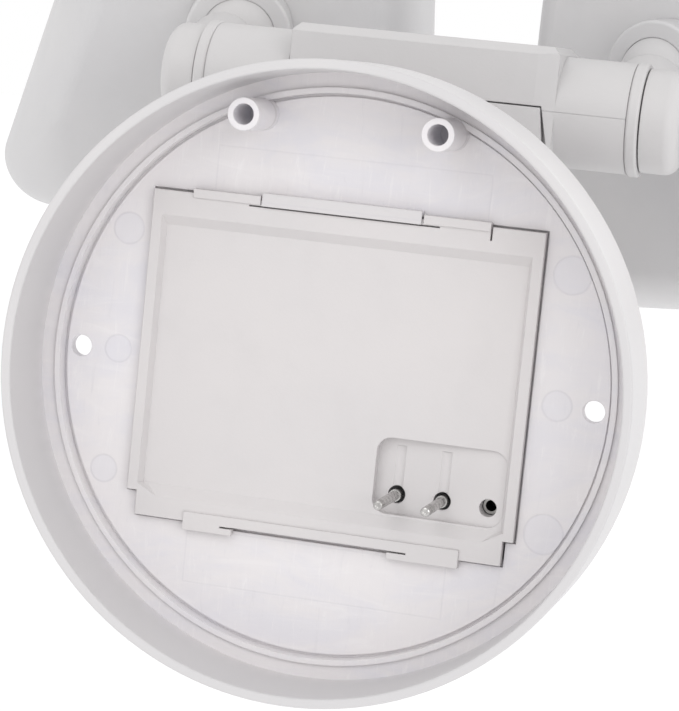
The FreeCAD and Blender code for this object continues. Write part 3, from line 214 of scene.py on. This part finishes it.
# The canopy's colours outside and inside the dish.
OUTER_WHITE = (0.612, 0.596, 0.600)
OUTER_SHADE = (0.585, 0.573, 0.580)
DISH_WHITE = (0.735, 0.708, 0.715)
DISH_VIOLET = (0.672, 0.660, 0.705)
DISH_MILK = (0.800, 0.780, 0.783)
DISH_SCRATCH = (0.640, 0.618, 0.640)
CLIP_BAR_TONE = (0.62, 0.60, 0.605)
LINE_TONE = (0.50, 0.48, 0.53)
EDGE_TONE = (0.82, 0.80, 0.81)
# Painted light: a faint glow down the boss's bore, standing in for light that comes through the
# plastic.
BORE_PAINTED_LIGHT = (0.030, 0.030, 0.034)
BLACK = (0.0, 0.0, 0.0)
# Where they meet, in metres: radii of the dish and of its floor, height of the floor's underside
# and of the clip bars.
DISH_R = 0.0612
FLOOR_R = 0.0566
UNDER_FLOOR_Y = (-0.003, -0.0022)
CLIP_BAR_Y = (0.0014, 0.0018)
CLIP_BAR_TOP_Y = 0.003
FADE = 0.0002
BOSS_PLACE = Vector(MOUNTS["boss_right"]["pos_m"])
BORE_R = MOUNTS["boss_right"]["dims"]["r_mm"] * MM
BOSS_TOP_Y = BOSS_PLACE.y + MOUNTS["boss_right"]["dims"]["length_mm"] * MM / 2.0
# Round marks that ejector rods leave on the canopy floor: x, z and radius in millimetres.
EJECTOR_MARKS = ((45.5, 25.2, 3.2), (45.5, 0.35, 2.8), (46.3, -24.7, 2.8),
                 (-46.3, 26.2, 3.8), (-46.0, 0.2, 3.0), (-46.1, -25.6, 4.0))
MARK_LINE = 0.00034
# Faint outlines of mould inserts: middle x and z, half width and half height in millimetres.
INSERT_LINES = ((-0.2, 38.8, 28.2, 5.2), (0.0, -40.0, 27.2, 5.6))
INSERT_LINE = 0.00028


def canopy_plastic():
    """Outside: fine grain. Inside the dish: smoother, with milky flow streaks and mould marks."""
    f = Finish("canopy_white")
    x, y, z = f.axes()
    radius = (x * x + z * z).root()
    inside = (DISH_R - radius).between(0.0, FADE) * y.between(*UNDER_FLOOR_Y)
    floor = inside * (FLOOR_R - radius).between(0.0, FADE)
    clouds = f.noise(16.0, 2.0)
    streaks = f.noise(30.0, 5.0, 0.62, f.stretched((1.0, 1.0, 2.4), (0.0, 0.5, 0.0)), 1.4)
    wisps = f.noise(85.0, 4.0, 0.6, f.stretched((0.5, 1.0, 2.2), (0.0, -0.35, 0.0)), 2.2)
    brushed = f.noise(420.0, 6.0, 0.75, f.stretched((1.6, 1.0, 0.22), (0.0, 0.25, 0.0)), 0.6)
    outer = f.mix(clouds.between(0.3, 0.7), OUTER_WHITE, OUTER_SHADE)
    dish = f.mix(streaks.between(0.40, 0.68) * 0.6, DISH_WHITE, DISH_VIOLET)
    dish = f.mix(wisps.between(0.50, 0.72) * 0.35 * clouds.between(0.3, 0.6), dish, DISH_MILK)
    dish = f.mix(brushed.between(0.54, 0.70) * 0.55, dish, DISH_MILK)
    dish = f.mix((1.0 - brushed).between(0.56, 0.74) * 0.5, dish, DISH_SCRATCH)
    outline = None
    filled = None
    for cx, cz, r in EJECTOR_MARKS:
        dx = x - cx * MM
        dz = z - cz * MM
        away = (dx * dx + dz * dz).root() - r * MM
        ring = 1.0 - abs(away).between(0.0, MARK_LINE)
        disc = 1.0 - away.between(-FADE, 0.0)
        outline = ring if outline is None else outline.largest(ring)
        filled = disc if filled is None else filled.largest(disc)
    for cx, cz, half_w, half_h in INSERT_LINES:
        side = abs(x - cx * MM) - half_w * MM
        end = abs(z - cz * MM) - half_h * MM
        line = 1.0 - abs(side.largest(end)).between(0.0, INSERT_LINE)
        outline = outline.largest(line * 0.5)
    outline = outline * floor
    base = f.mix(inside, outer, dish)
    base = f.mix(filled * floor * 0.4, base, DISH_VIOLET)
    clip_bar = floor * y.between(*CLIP_BAR_Y) * (CLIP_BAR_TOP_Y - y).between(0.0, FADE)
    base = f.mix(clip_bar, base, CLIP_BAR_TONE)
    base = f.mix(outline * 0.30, base, LINE_TONE)
    # Painted light: the boss's bore glows faintly, standing in for light coming through the plastic
    # into it.
    bore_x = abs(x) - BOSS_PLACE.x
    bore_z = z - BOSS_PLACE.z
    bore = (BORE_R - (bore_x * bore_x + bore_z * bore_z).root()).between(-0.00015, 0.0)
    bore = bore * (BOSS_TOP_Y - y).between(0.0, 0.0008)
    bore_painted_light = f.mix(bore, BLACK, BORE_PAINTED_LIGHT)
    rounded = f.soft_edges(0.3 * MM)
    worn = f.edge_mask(rounded)
    base = f.mix(worn * 0.12, base, EDGE_TONE)
    grain = f.noise(1900.0, 2.0) * (1.0 - 0.75 * inside)
    ripple = (streaks * 1.6 + brushed * 0.5) * inside
    height = grain + ripple + f.noise(150.0, 3.0) * 0.7 - outline * 1.2
    normal = f.bump(height, 0.03 * MM, rounded)
    rough = 0.47 - 0.10 * inside + 0.10 * wisps.between(0.4, 0.8) * inside - 0.05 * worn
    return f.surface(Base_Color=base, Roughness=rough, Normal=normal, Emission_Color=bore_painted_light,
                     Emission_Strength=1.0, IOR=1.47)


def brushed_metal(name, colour, dark, rough=0.28, scratch=700.0, along=(1.0, 0.15, 1.0)):
    """Drawn or turned metal: fine lines, dull patches, bright edges."""
    f = Finish(name)
    lines = f.noise(scratch, 3.0, 0.6, f.stretched(along))
    stain = f.noise(260.0, 4.0, 0.6)
    rounded = f.soft_edges(0.12 * MM)
    worn = f.edge_mask(rounded)
    base = f.mix(stain.between(0.45, 0.75) * 0.5, colour, dark)
    base = f.mix(worn * 0.5, base, tuple(min(1.0, 1.2 * c) for c in colour))
    normal = f.bump(lines, 0.012 * MM, rounded)
    shine = rough + 0.25 * stain.between(0.4, 0.8) + 0.12 * (lines - 0.5) - 0.08 * worn
    return f.surface(Base_Color=base, Metallic=1.0, Normal=normal, Roughness=shine)


def socket_metal():
    """Nickel like the pins', with painted shade: near black down the bore."""
    f = Finish("earth_socket_nickel")
    x, y, z = f.axes()
    place = Vector(MOUNTS["earth_socket"]["pos_m"])
    dims = MOUNTS["earth_socket"]["dims"]
    dx = x - place.x
    dz = z - place.z
    across = (dx * dx + dz * dz).root()
    # Painted shade: down the bore the metal is painted near black, standing in for the shade inside
    # the hole.
    down = (place.y + dims["length_mm"] * MM / 2.0 - y).between(-0.00005, 0.0004)
    bore = (dims["r_mm"] * MM * 1.06 - across).between(-0.00004, 0.00004) * down
    stain = f.noise(260.0, 4.0, 0.6)
    base = f.mix(stain.between(0.45, 0.75) * 0.5, (0.58, 0.57, 0.55), (0.34, 0.33, 0.31))
    base = f.mix(bore, base, (0.012, 0.012, 0.012))
    lines = f.noise(900.0, 3.0, 0.6, f.stretched((1.0, 0.2, 1.0)))
    normal = f.bump(lines, 0.012 * MM, f.soft_edges(0.12 * MM))
    return f.surface(Base_Color=base, Metallic=1.0 - bore,
                     Roughness=0.3 + 0.2 * stain + 0.3 * bore, Normal=normal)


def frosted_lens():
    """The lamp window: clear plastic with a fine moulded stipple on its face."""
    f = Finish("lamp_window")
    stipple = f.pits(700.0)
    waves = f.noise(35.0, 2.0)
    haze = f.noise(120.0, 4.0).between(0.4, 0.8)
    base = f.mix(haze * 0.3, (0.93, 0.94, 0.95), (0.84, 0.85, 0.86))
    normal = f.bump(stipple + waves * 0.6, 0.12 * MM, f.soft_edges(0.3 * MM))
    return f.surface(Base_Color=base, Roughness=0.14 + 0.12 * haze, Normal=normal,
                     Transmission_Weight=0.86, IOR=1.49)


def sensor_dome():
    """Milky polyethylene with moulded lens rings."""
    f = Finish("sensor_dome_milky")
    x, y, z = f.axes()
    low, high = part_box("pir_lens")
    middle = (low + high) / 2.0
    dx = x - middle.x
    dz = z - middle.z
    across = (dx * dx + dz * dz).root()
    rings = f.add("Math", {"operation": "SINE"}, {0: across * 9000.0})
    base = f.mix(f.noise(80.0, 3.0).between(0.3, 0.7), (0.80, 0.80, 0.79), (0.74, 0.745, 0.75))
    base = f.mix(rings.between(0.4, 1.0) * 0.2, base, (0.62, 0.63, 0.65))
    normal = f.bump(rings + 0.3 * f.noise(900.0), 0.05 * MM)
    return f.surface(Base_Color=base, Roughness=0.36 + 0.1 * f.noise(300.0), Normal=normal,
                     Subsurface_Weight=0.25, Subsurface_Scale=0.001, IOR=1.5)


def circuit_board():
    """Green solder mask over copper runs, with tinned pads."""
    f = Finish("board_green")
    place = f.place()
    cells = f.add("TexVoronoi", {"feature": "DISTANCE_TO_EDGE", "distance": "CHEBYCHEV"},
                  {"Vector": place, "Scale": 210.0})
    runs = cells.between(0.02, 0.05)
    dots = f.add("TexVoronoi", {"feature": "F1"},
                 {"Vector": place, "Scale": 330.0, "Randomness": 0.35})
    pads = 1.0 - dots.between(0.10, 0.14)
    base = f.mix(runs, (0.035, 0.16, 0.065), (0.014, 0.085, 0.036))
    base = f.mix(pads, base, (0.68, 0.67, 0.62))
    base = f.mix(f.noise(45.0, 3.0).between(0.4, 0.8) * 0.25, base, (0.03, 0.10, 0.06))
    height = pads * 1.5 - runs + f.noise(800.0) * 0.2
    normal = f.bump(height, 0.04 * MM, f.soft_edges(0.15 * MM))
    return f.surface(Base_Color=base, Metallic=pads * 0.9,
                     Roughness=0.34 + 0.1 * f.noise(120.0), Normal=normal)


def dull_rubber(name, colour):
    """Matt black rubber with a breath of dust."""
    f = Finish(name)
    dust = f.noise(110.0, 5.0, 0.65)
    base = f.mix(dust.between(0.4, 0.8) * 0.6, colour, tuple(c + 0.10 for c in colour))
    normal = f.bump(f.noise(1300.0, 3.0) + f.noise(200.0), 0.04 * MM, f.soft_edges(0.25 * MM))
    return f.surface(Base_Color=base, Roughness=0.72 + 0.15 * dust, Normal=normal)


def glass(name, colour, rough, ior=1.5):
    """Polished dark glass with faint dust and wipe marks."""
    f = Finish(name)
    dust = f.noise(420.0, 5.0, 0.7).between(0.62, 0.75)
    wipes = f.noise(50.0, 4.0, 0.6, f.stretched((1.0, 1.0, 5.0), (0.2, 0.5, 0.0)))
    base = f.mix(dust * 0.25, colour, (0.4, 0.4, 0.41))
    normal = f.bump(wipes, 0.004 * MM, f.soft_edges(0.2 * MM))
    return f.surface(Base_Color=base, Roughness=rough + 0.12 * dust + 0.05 * wipes,
                     Normal=normal, IOR=ior, Coat_Weight=0.6, Coat_Roughness=0.04)


def phosphor():
    """Yellow phosphor of the lamp chips, a little mottled."""
    f = Finish("chip_phosphor")
    speckle = f.noise(2600.0, 3.0)
    base = f.mix(speckle.between(0.3, 0.7), (0.86, 0.66, 0.10), (0.74, 0.52, 0.06))
    normal = f.bump(speckle, 0.02 * MM, f.soft_edges(0.2 * MM))
    return f.surface(Base_Color=base, Roughness=0.42 + 0.1 * speckle, Normal=normal,
                     Coat_Weight=0.3)


BODY_WHITE = moulded_plastic("body_white", (0.575, 0.562, 0.562), (0.545, 0.536, 0.540))
HEAD_WHITE = moulded_plastic("head_white", (0.590, 0.580, 0.582), (0.560, 0.553, 0.560),
                             grain=1500.0)
COVER_WHITE = moulded_plastic("cover_white", (0.632, 0.605, 0.603), (0.610, 0.588, 0.590),
                              rough=0.56, grain=2300.0, grain_depth=0.014, edge=0.22, wear=0.12)
CANOPY_WHITE = canopy_plastic()
BLACK_PLASTIC = moulded_plastic("black_moulding", (0.030, 0.030, 0.032), (0.042, 0.042, 0.044),
                                rough=0.42)
BUTTON_GREY = moulded_plastic("button_grey", (0.30, 0.30, 0.31), (0.27, 0.27, 0.28), edge=0.2)
SLEEVE_BLUE = moulded_plastic("capacitor_wrap", (0.030, 0.055, 0.13), (0.024, 0.042, 0.10),
                              rough=0.3, grain=900.0)
PIN_METAL = brushed_metal("pin_plating", (0.50, 0.49, 0.48), (0.24, 0.23, 0.22), rough=0.20,
                          scratch=900.0, along=(0.4, 2.0, 0.4))
SOCKET_METAL = socket_metal()
BLOCK_GREY = moulded_plastic("contact_block_grey", (0.085, 0.086, 0.09), (0.06, 0.06, 0.064),
                             rough=0.32, edge=0.15)
SCREW_STEEL = brushed_metal("screw_steel_finish", (0.56, 0.56, 0.57), (0.30, 0.30, 0.31),
                            rough=0.32)
CORE_STEEL = brushed_metal("core_steel", (0.24, 0.24, 0.25), (0.15, 0.13, 0.12), rough=0.5)
SINK_ALUMINIUM = brushed_metal("sink_aluminium", (0.72, 0.73, 0.74), (0.55, 0.56, 0.57),
                               rough=0.4)
BOARD_WHITE = moulded_plastic("lamp_board_white", (0.78, 0.78, 0.77), (0.74, 0.745, 0.74),
                              rough=0.38, grain=900.0)
CHIP_FRAME = moulded_plastic("chip_frame", (0.80, 0.80, 0.79), (0.74, 0.74, 0.73), rough=0.35,
                             grain=900.0, edge=0.08)
BOARD_GREEN = circuit_board()
LAMP_WINDOW = frosted_lens()
DOME = sensor_dome()
RUBBER = dull_rubber("seal_rubber_finish", (0.045, 0.045, 0.047))
WINDOW_DARK = glass("window_smoked", (0.012, 0.012, 0.014), 0.05)
CAMERA_GLASS = glass("camera_glass_coated", (0.020, 0.022, 0.045), 0.03, 1.7)
PHOSPHOR = phosphor()

# The finish of each node, without the _right or _left of its name.
FINISH_OF = {
    "canopy_shell": CANOPY_WHITE, "bay_cover": COVER_WHITE, "contact_block": BLOCK_GREY,
    "contact_pins": PIN_METAL, "ground_socket": SOCKET_METAL, "driver_board": BOARD_GREEN,
    "driver_transformer": CORE_STEEL, "driver_capacitors": SLEEVE_BLUE,
    "driver_relay": BLACK_PLASTIC, "housing_rear": BODY_WHITE, "housing_front": BODY_WHITE,
    "housing_screws": SCREW_STEEL,
    "arm_shell_upper": BODY_WHITE, "arm_shell_lower": BODY_WHITE, "arm_sleeve": BODY_WHITE,
    "arm_screws": SCREW_STEEL, "main_board": BOARD_GREEN, "shield_can": SINK_ALUMINIUM,
    "pir_sensor": SCREW_STEEL, "button_switch": BLACK_PLASTIC, "speaker": BLACK_PLASTIC,
    "pir_lens": DOME, "setup_button": BUTTON_GREY, "camera_mount": BODY_WHITE,
    "camera_knuckle": BODY_WHITE, "camera_pan_pin": SCREW_STEEL, "camera_tilt_pin": SCREW_STEEL,
    "camera_rear_shell": HEAD_WHITE, "camera_front_shell": HEAD_WHITE, "camera_window": WINDOW_DARK,
    "camera_board": BOARD_GREEN, "camera_lens_barrel": BLACK_PLASTIC, "camera_lens": CAMERA_GLASS,
    "camera_ir_leds": CAMERA_GLASS,
    "ball_socket": HEAD_WHITE, "head_shell": HEAD_WHITE, "head_bezel": HEAD_WHITE,
    "head_lens": LAMP_WINDOW, "head_gasket": RUBBER, "heat_sink": SINK_ALUMINIUM,
    "led_board": BOARD_WHITE, "led_chips": PHOSPHOR, "head_screws": SCREW_STEEL,
    "elbow": BODY_WHITE, "elbow_nut": SCREW_STEEL, "elbow_washer": SCREW_STEEL,
    "arm_bush": BODY_WHITE,
}
for name, node in nodes.items():
    plain = name.removesuffix("_right").removesuffix("_left")
    node.data.materials.clear()
    node.data.materials.append(FINISH_OF[plain])


# ---------------------------------------------------------------- pieces finer than their CAD nodes

SHARP_ANGLE = math.radians(32.0)
FLAT_ANGLE = math.radians(1.0)


def finer_piece(name, node, mesh, slot, *finishes):
    """The finished piece that stands for a node and rides on its body."""
    bmesh.ops.recalc_face_normals(mesh, faces=mesh.faces)
    data = bpy.data.meshes.new(name)
    mesh.to_mesh(data)
    mesh.free()
    data.shade_smooth()
    data.set_sharp_from_angle(angle=SHARP_ANGLE)
    for finish in finishes:
        data.materials.append(finish)
    piece = bpy.data.objects.new(name, data)
    bpy.context.scene.collection.objects.link(piece)
    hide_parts(node)
    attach(piece, BODY_OF[node])


def merged_copy(node):
    """A node's shape as a new mesh, with its loose triangles joined into flat faces."""
    mesh = bmesh.new()
    mesh.from_mesh(nodes[node].data)
    bmesh.ops.remove_doubles(mesh, verts=mesh.verts, dist=MERGE)
    bmesh.ops.dissolve_limit(mesh, angle_limit=FLAT_ANGLE, verts=mesh.verts, edges=mesh.edges)
    return mesh


def turned(mesh, outline, x=0.0, z=0.0, steps=32):
    """A shape turned about a line along Y. The outline is pairs of radius and y."""
    points = [mesh.verts.new((x + radius, y, z)) for radius, y in outline]
    edges = [mesh.edges.new(pair) for pair in zip(points, points[1:])]
    bmesh.ops.spin(mesh, geom=points + edges, cent=(x, 0.0, z), axis=(0.0, 1.0, 0.0),
                   angle=math.tau, steps=steps, use_merge=True)
    bmesh.ops.remove_doubles(mesh, verts=mesh.verts, dist=MERGE)


# Fine turned rings along a contact pin, in millimetres from the start of its plain shaft.
PIN_GROOVES = (3.2, 5.6, 8.0, 10.4)
PIN_GROOVE = ((1.0, -0.2), (0.92, -0.08), (0.92, 0.08), (1.0, 0.2))
# The shares of the shaft's radius at its thick root, at the root's edge and in the neck after it.
PIN_ROOT_R = 1.24
PIN_ROOT_EDGE_R = 1.15
PIN_NECK_R = 0.94
# The end of the pin: share of the shaft's radius, and millimetres back from the tip.
PIN_TIP = ((1.0, 2.1), (0.84, 1.85), (0.84, 1.55), (1.0, 1.3), (1.0, 0.45), (0.9, 0.2),
           (0.66, 0.03), (0.5, 0.0), (0.38, 0.08), (0.2, 0.16), (0.0, 0.18))


def contact_pins():
    """Two turned pins: thick root, plain shaft with fine rings, neck and rounded, dimpled tip."""
    low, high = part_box("contact_pins")
    mesh = bmesh.new()
    for name in ("pin_live", "pin_neutral"):
        place = Vector(MOUNTS[name]["pos_m"])
        r = MOUNTS[name]["dims"]["r_mm"] * MM
        start = place.y - MOUNTS[name]["dims"]["length_mm"] * MM / 2.0
        outline = [(0.0, low.y), (PIN_ROOT_EDGE_R * r, low.y),
                   (PIN_ROOT_R * r, low.y + 0.3 * MM), (PIN_ROOT_R * r, start - 0.32 * MM),
                   (PIN_NECK_R * r, start - 0.30 * MM), (PIN_NECK_R * r, start),
                   (r, start + 0.02 * MM)]
        for groove in PIN_GROOVES:
            middle = start + groove * MM
            outline += [(share * r, middle + step * MM) for share, step in PIN_GROOVE]
        outline += [(share * r, high.y - back * MM) for share, back in PIN_TIP]
        turned(mesh, outline, place.x, place.z)
    finer_piece("turned_contact_pins", "contact_pins", mesh, "contact_metal", PIN_METAL)


# The sensor's dome, in millimetres.
DOME_R = 10.5
DOME_RISE = 5.5
DOME_ROOM_R = 9.0        # radius of the hollow behind it
DOME_ROOM_STEPS = 6
DOME_WALL = 1.0
DOME_FLANGE_T = 1.2
DOME_RING = 1.5          # pitch of its moulded lens rings
DOME_GROOVE = 0.14       # depth and half width of the groove between two rings


def ringed_sensor_dome():
    """The sensor's dome with ring-shaped lenses moulded into it, its stem and its flange."""
    low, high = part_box("pir_lens")
    middle = (low + high) / 2.0
    flange_r = high.x - middle.x
    sphere_r = (DOME_R ** 2 + DOME_RISE ** 2) / (2.0 * DOME_RISE)

    def surface_y(radius, r):
        """Where a sphere of a radius, about the dome's own centre, is at r from its axis."""
        return low.y + (sphere_r - math.sqrt(radius ** 2 - r ** 2)) * MM

    outline = [(0.0, low.y)]
    for ring in range(1, int(DOME_R / DOME_RING) + 1):
        r = ring * DOME_RING
        crest = r - 0.5 * DOME_RING
        if r + DOME_GROOVE < DOME_R:
            outline += [(crest * MM, surface_y(sphere_r, crest)),
                        ((r - DOME_GROOVE) * MM, surface_y(sphere_r, r - DOME_GROOVE)),
                        (r * MM, surface_y(sphere_r, r) + DOME_GROOVE * MM),
                        ((r + DOME_GROOVE) * MM, surface_y(sphere_r, r + DOME_GROOVE))]
    flange_front = high.y - DOME_FLANGE_T * MM
    outline += [(DOME_R * MM, surface_y(sphere_r, DOME_R)), (DOME_R * MM, flange_front),
                (flange_r, flange_front), (flange_r, high.y), (DOME_ROOM_R * MM, high.y)]
    for step in range(DOME_ROOM_STEPS, -1, -1):
        r = DOME_ROOM_R * step / DOME_ROOM_STEPS
        outline.append((r * MM, surface_y(sphere_r - DOME_WALL, r)))
    mesh = bmesh.new()
    turned(mesh, outline, middle.x, middle.z, steps=64)
    finer_piece("ringed_sensor_dome", "pir_lens", mesh, "dome_plastic", DOME)


# A lamp chip, in millimetres: rounding of its frame, least area of its front, width of the frame,
# slope and depth of the sunk window, and the steps (inwards, up) of the window's low dome.
CHIP_EDGE = 0.22
CHIP_FRONT_AREA = 12.0
CHIP_FRAME_W = 0.42
CHIP_SLOPE = 0.10
CHIP_SUNK = 0.22
CHIP_DOME = ((0.35, 0.07), (0.45, 0.04), (0.5, 0.02))
FACES_FRONT = -0.8       # a face whose normal's y is below this looks forwards
WINDOW = 1               # material slot of the window; the frame's is 0


def lamp_chips(side):
    """Every lamp chip as a white frame with a sunk, gently domed yellow window."""
    node = "led_chips_" + side
    mesh = merged_copy(node)
    bmesh.ops.bevel(mesh, geom=mesh.edges[:], offset=CHIP_EDGE * MM, offset_type="OFFSET",
                    affect="EDGES", segments=2, profile=0.5, material=-1)
    fronts = [face for face in mesh.faces
              if face.normal.y < FACES_FRONT and face.calc_area() > CHIP_FRONT_AREA * MM * MM]
    bmesh.ops.inset_individual(mesh, faces=fronts, thickness=CHIP_FRAME_W * MM, depth=0.0)
    bmesh.ops.inset_individual(mesh, faces=fronts, thickness=CHIP_SLOPE * MM,
                               depth=-CHIP_SUNK * MM)
    for face in fronts:
        face.material_index = WINDOW
    for step, rise in CHIP_DOME:
        inset = bmesh.ops.inset_individual(mesh, faces=fronts, thickness=step * MM,
                                           depth=rise * MM)
        for face in inset["faces"]:
            face.material_index = WINDOW
    finer_piece("lamp_chips_" + side, node, mesh, "led_yellow", CHIP_FRAME, PHOSPHOR)


def islands(mesh):
    """The separate solids in a mesh, each a list of its vertices."""
    left = set(mesh.verts)
    groups = []
    while left:
        waiting = [left.pop()]
        group = []
        while waiting:
            vert = waiting.pop()
            group.append(vert)
            near = [edge.other_vert(vert) for edge in vert.link_edges]
            fresh = [other for other in near if other in left]
            left.difference_update(fresh)
            waiting += fresh
        groups.append(group)
    return groups


LEAST_CORNERS = 10       # a round face has at least this many
ROUND_ERROR = 0.04       # and their distances from its centre differ by less than this share


def round_faces(group):
    """The flat round faces of a solid: radius and centre, smallest first."""
    found = []
    for face in {face for vert in group for face in vert.link_faces}:
        centre = sum((vert.co for vert in face.verts), Vector()) / len(face.verts)
        reach = [(vert.co - centre).length for vert in face.verts]
        if len(reach) >= LEAST_CORNERS and max(reach) - min(reach) < ROUND_ERROR * max(reach):
            found.append((max(reach), centre))
    return sorted(found, key=lambda item: item[0])


# A screw's head: shares of its radius and of its height, from its seat to its flat top.
SCREW_HEAD = ((0.97, 0.0), (1.0, 0.06), (1.0, 0.45), (0.96, 0.70), (0.86, 0.90), (0.70, 1.0))
SCREW_END_R = 0.55       # share of the shank's radius at its end
SCREW_END_H = 0.6        # height of the shank's tapered end, a share of its radius
# The cross recess: half width of an arm, its reach and its taper as shares of the head's radius,
# and its depth as a share of the head's height.
RECESS_ARM = 0.14
RECESS_REACH = 0.56
RECESS_TAPER = 0.05
RECESS_DEPTH = 0.55
LEVEL = 1e-7             # how far below the head's top a vertex still counts as on it


def cross_recess_screw(shank_r, head_r, head_h, length):
    """A pan-head screw along Y, its seat at the origin and its head towards +Y."""
    mesh = bmesh.new()
    shank = [(0.0, -length), (SCREW_END_R * shank_r, -length),
             (shank_r, -length + SCREW_END_H * shank_r), (shank_r, 0.0)]
    turned(mesh, shank + [(across * head_r, up * head_h) for across, up in SCREW_HEAD])
    rim = [edge for edge in mesh.edges if edge.is_boundary]
    bmesh.ops.contextual_create(mesh, geom=rim)
    top_y = head_h - LEVEL
    arm = RECESS_ARM * head_r
    reach = RECESS_REACH * head_r
    for across in (Vector((1.0, 0.0, 0.0)), Vector((0.0, 0.0, 1.0))):
        for distance in (-reach, -arm, arm, reach):
            top = [face for face in mesh.faces if all(vert.co.y > top_y for vert in face.verts)]
            geom = {part for face in top for part in (face, *face.edges, *face.verts)}
            bmesh.ops.bisect_plane(mesh, geom=list(geom), plane_co=across * distance,
                                   plane_no=across, dist=1e-8)
    cross = []
    for face in mesh.faces:
        middle = face.calc_center_median()
        near, far = sorted((abs(middle.x), abs(middle.z)))
        if middle.y > top_y and near < arm and far < reach:
            cross.append(face)
    bmesh.ops.inset_region(mesh, faces=cross, thickness=RECESS_TAPER * head_r,
                           depth=-RECESS_DEPTH * head_h, use_boundary=True, use_even_offset=True)
    return mesh


def cross_recess_screws(name, node):
    """Screws with proper heads at the places of a node's plain ones."""
    plain = merged_copy(node)
    mesh = bmesh.new()
    for group in islands(plain):
        # The two smallest round faces are the recess's floor, half way down the head, and the end.
        (_, recess), (shank_r, end) = round_faces(group)[:2]
        way = (recess - end).normalized()
        places = [vert.co - end for vert in group]
        top = max(place.dot(way) for place in places)
        head_h = 2.0 * (top - (recess - end).length)
        head_r = max((place - way * place.dot(way)).length for place in places)
        screw = cross_recess_screw(shank_r, head_r, head_h, top - head_h)
        shape = bpy.data.meshes.new("screw")
        screw.to_mesh(shape)
        screw.free()
        turn = Vector((0.0, 1.0, 0.0)).rotation_difference(way).to_matrix().to_4x4()
        shape.transform(Matrix.Translation(end + way * (top - head_h)) @ turn)
        mesh.from_mesh(shape)
        bpy.data.meshes.remove(shape)
    plain.free()
    finer_piece(name, node, mesh, "screw_steel", SCREW_STEEL)


contact_pins()
ringed_sensor_dome()
cross_recess_screws("housing_cross_screws", "housing_screws")
for side in ("right", "left"):
    lamp_chips(side)
    cross_recess_screws("head_cross_screws_" + side, "head_screws_" + side)


# ---------------------------------------------------------------- floor, light and camera

FLOOR_RADIUS = 30.0
FLOOR_DROP = 0.75        # metres from the part's lowest point down to the floor
ORIGIN = (0.0, 0.0, 0.0)


def pale_floor():
    """A wide round floor well below the part."""
    f = Finish("floor_white")
    soft = f.noise(0.8, 2.0)
    base = f.mix(soft, (0.93, 0.93, 0.93), (0.91, 0.91, 0.915))
    f.surface(Base_Color=base, Roughness=0.8 + 0.05 * soft,
              Normal=f.bump(f.noise(60.0), 0.2 * MM),
              Emission_Color=(1.0, 1.0, 1.0), Emission_Strength=0.12)
    mesh = bmesh.new()
    bmesh.ops.create_circle(mesh, cap_ends=True, segments=96, radius=FLOOR_RADIUS)
    bmesh.ops.translate(mesh, verts=mesh.verts, vec=(0.0, 0.0, cad_box[0].z - FLOOR_DROP))
    data = bpy.data.meshes.new("pale_floor")
    mesh.to_mesh(data)
    mesh.free()
    data.materials.append(f.material)
    floor = bpy.data.objects.new("pale_floor", data)
    bpy.context.scene.collection.objects.link(floor)


def soft_light(name, place, aim, size, power):
    """A round white lamp: size across in metres, power in watts."""
    lamp = bpy.data.lights.new(name, "AREA")
    lamp.shape = "DISK"
    lamp.size = size
    lamp.energy = power
    holder = bpy.data.objects.new(name, lamp)
    holder.location = place
    holder.rotation_mode = "QUATERNION"
    holder.rotation_quaternion = (Vector(aim) - Vector(place)).to_track_quat("-Z", "Y")
    bpy.context.scene.collection.objects.link(holder)


CAMERA_PLACE = Vector((-0.12933, 0.53101, 0.06581))
CAMERA_AIM = Vector((-0.01266, 0.04800, 0.01022))
CAMERA_ROLL = math.radians(5.76)
CAMERA_LENS = 138.63


def studio():
    """A white room with three lamps, and the camera behind the fixture."""
    world = bpy.data.worlds.new("white_room")
    world.use_nodes = True
    background = world.node_tree.nodes["Background"]
    background.inputs["Color"].default_value = (1.0, 1.0, 1.0, 1.0)
    background.inputs["Strength"].default_value = 1.0
    scene = bpy.context.scene
    scene.world = world
    scene.view_settings.view_transform = "Standard"
    soft_light("key_light", (0.35, 1.15, 1.0), ORIGIN, size=1.0, power=3.4)
    soft_light("fill_light", (-1.05, 0.95, 0.35), ORIGIN, size=0.9, power=3.6)
    soft_light("front_light", (-0.9, -1.3, 0.9), (0.0, -0.05, 0.0), size=0.9, power=9.0)
    camera = bpy.data.objects.new("camera", bpy.data.cameras.new("camera"))
    camera.data.lens = CAMERA_LENS
    camera.data.sensor_width = 36.0
    camera.data.sensor_fit = "AUTO"
    camera.data.clip_start = 0.01
    camera.data.clip_end = 100.0
    camera.location = CAMERA_PLACE
    aim = (CAMERA_AIM - CAMERA_PLACE).to_track_quat("-Z", "Y")
    camera.rotation_mode = "QUATERNION"
    camera.rotation_quaternion = aim @ Matrix.Rotation(CAMERA_ROLL, 3, "Z").to_quaternion()
    scene.collection.objects.link(camera)
    scene.camera = camera


pale_floor()
studio()
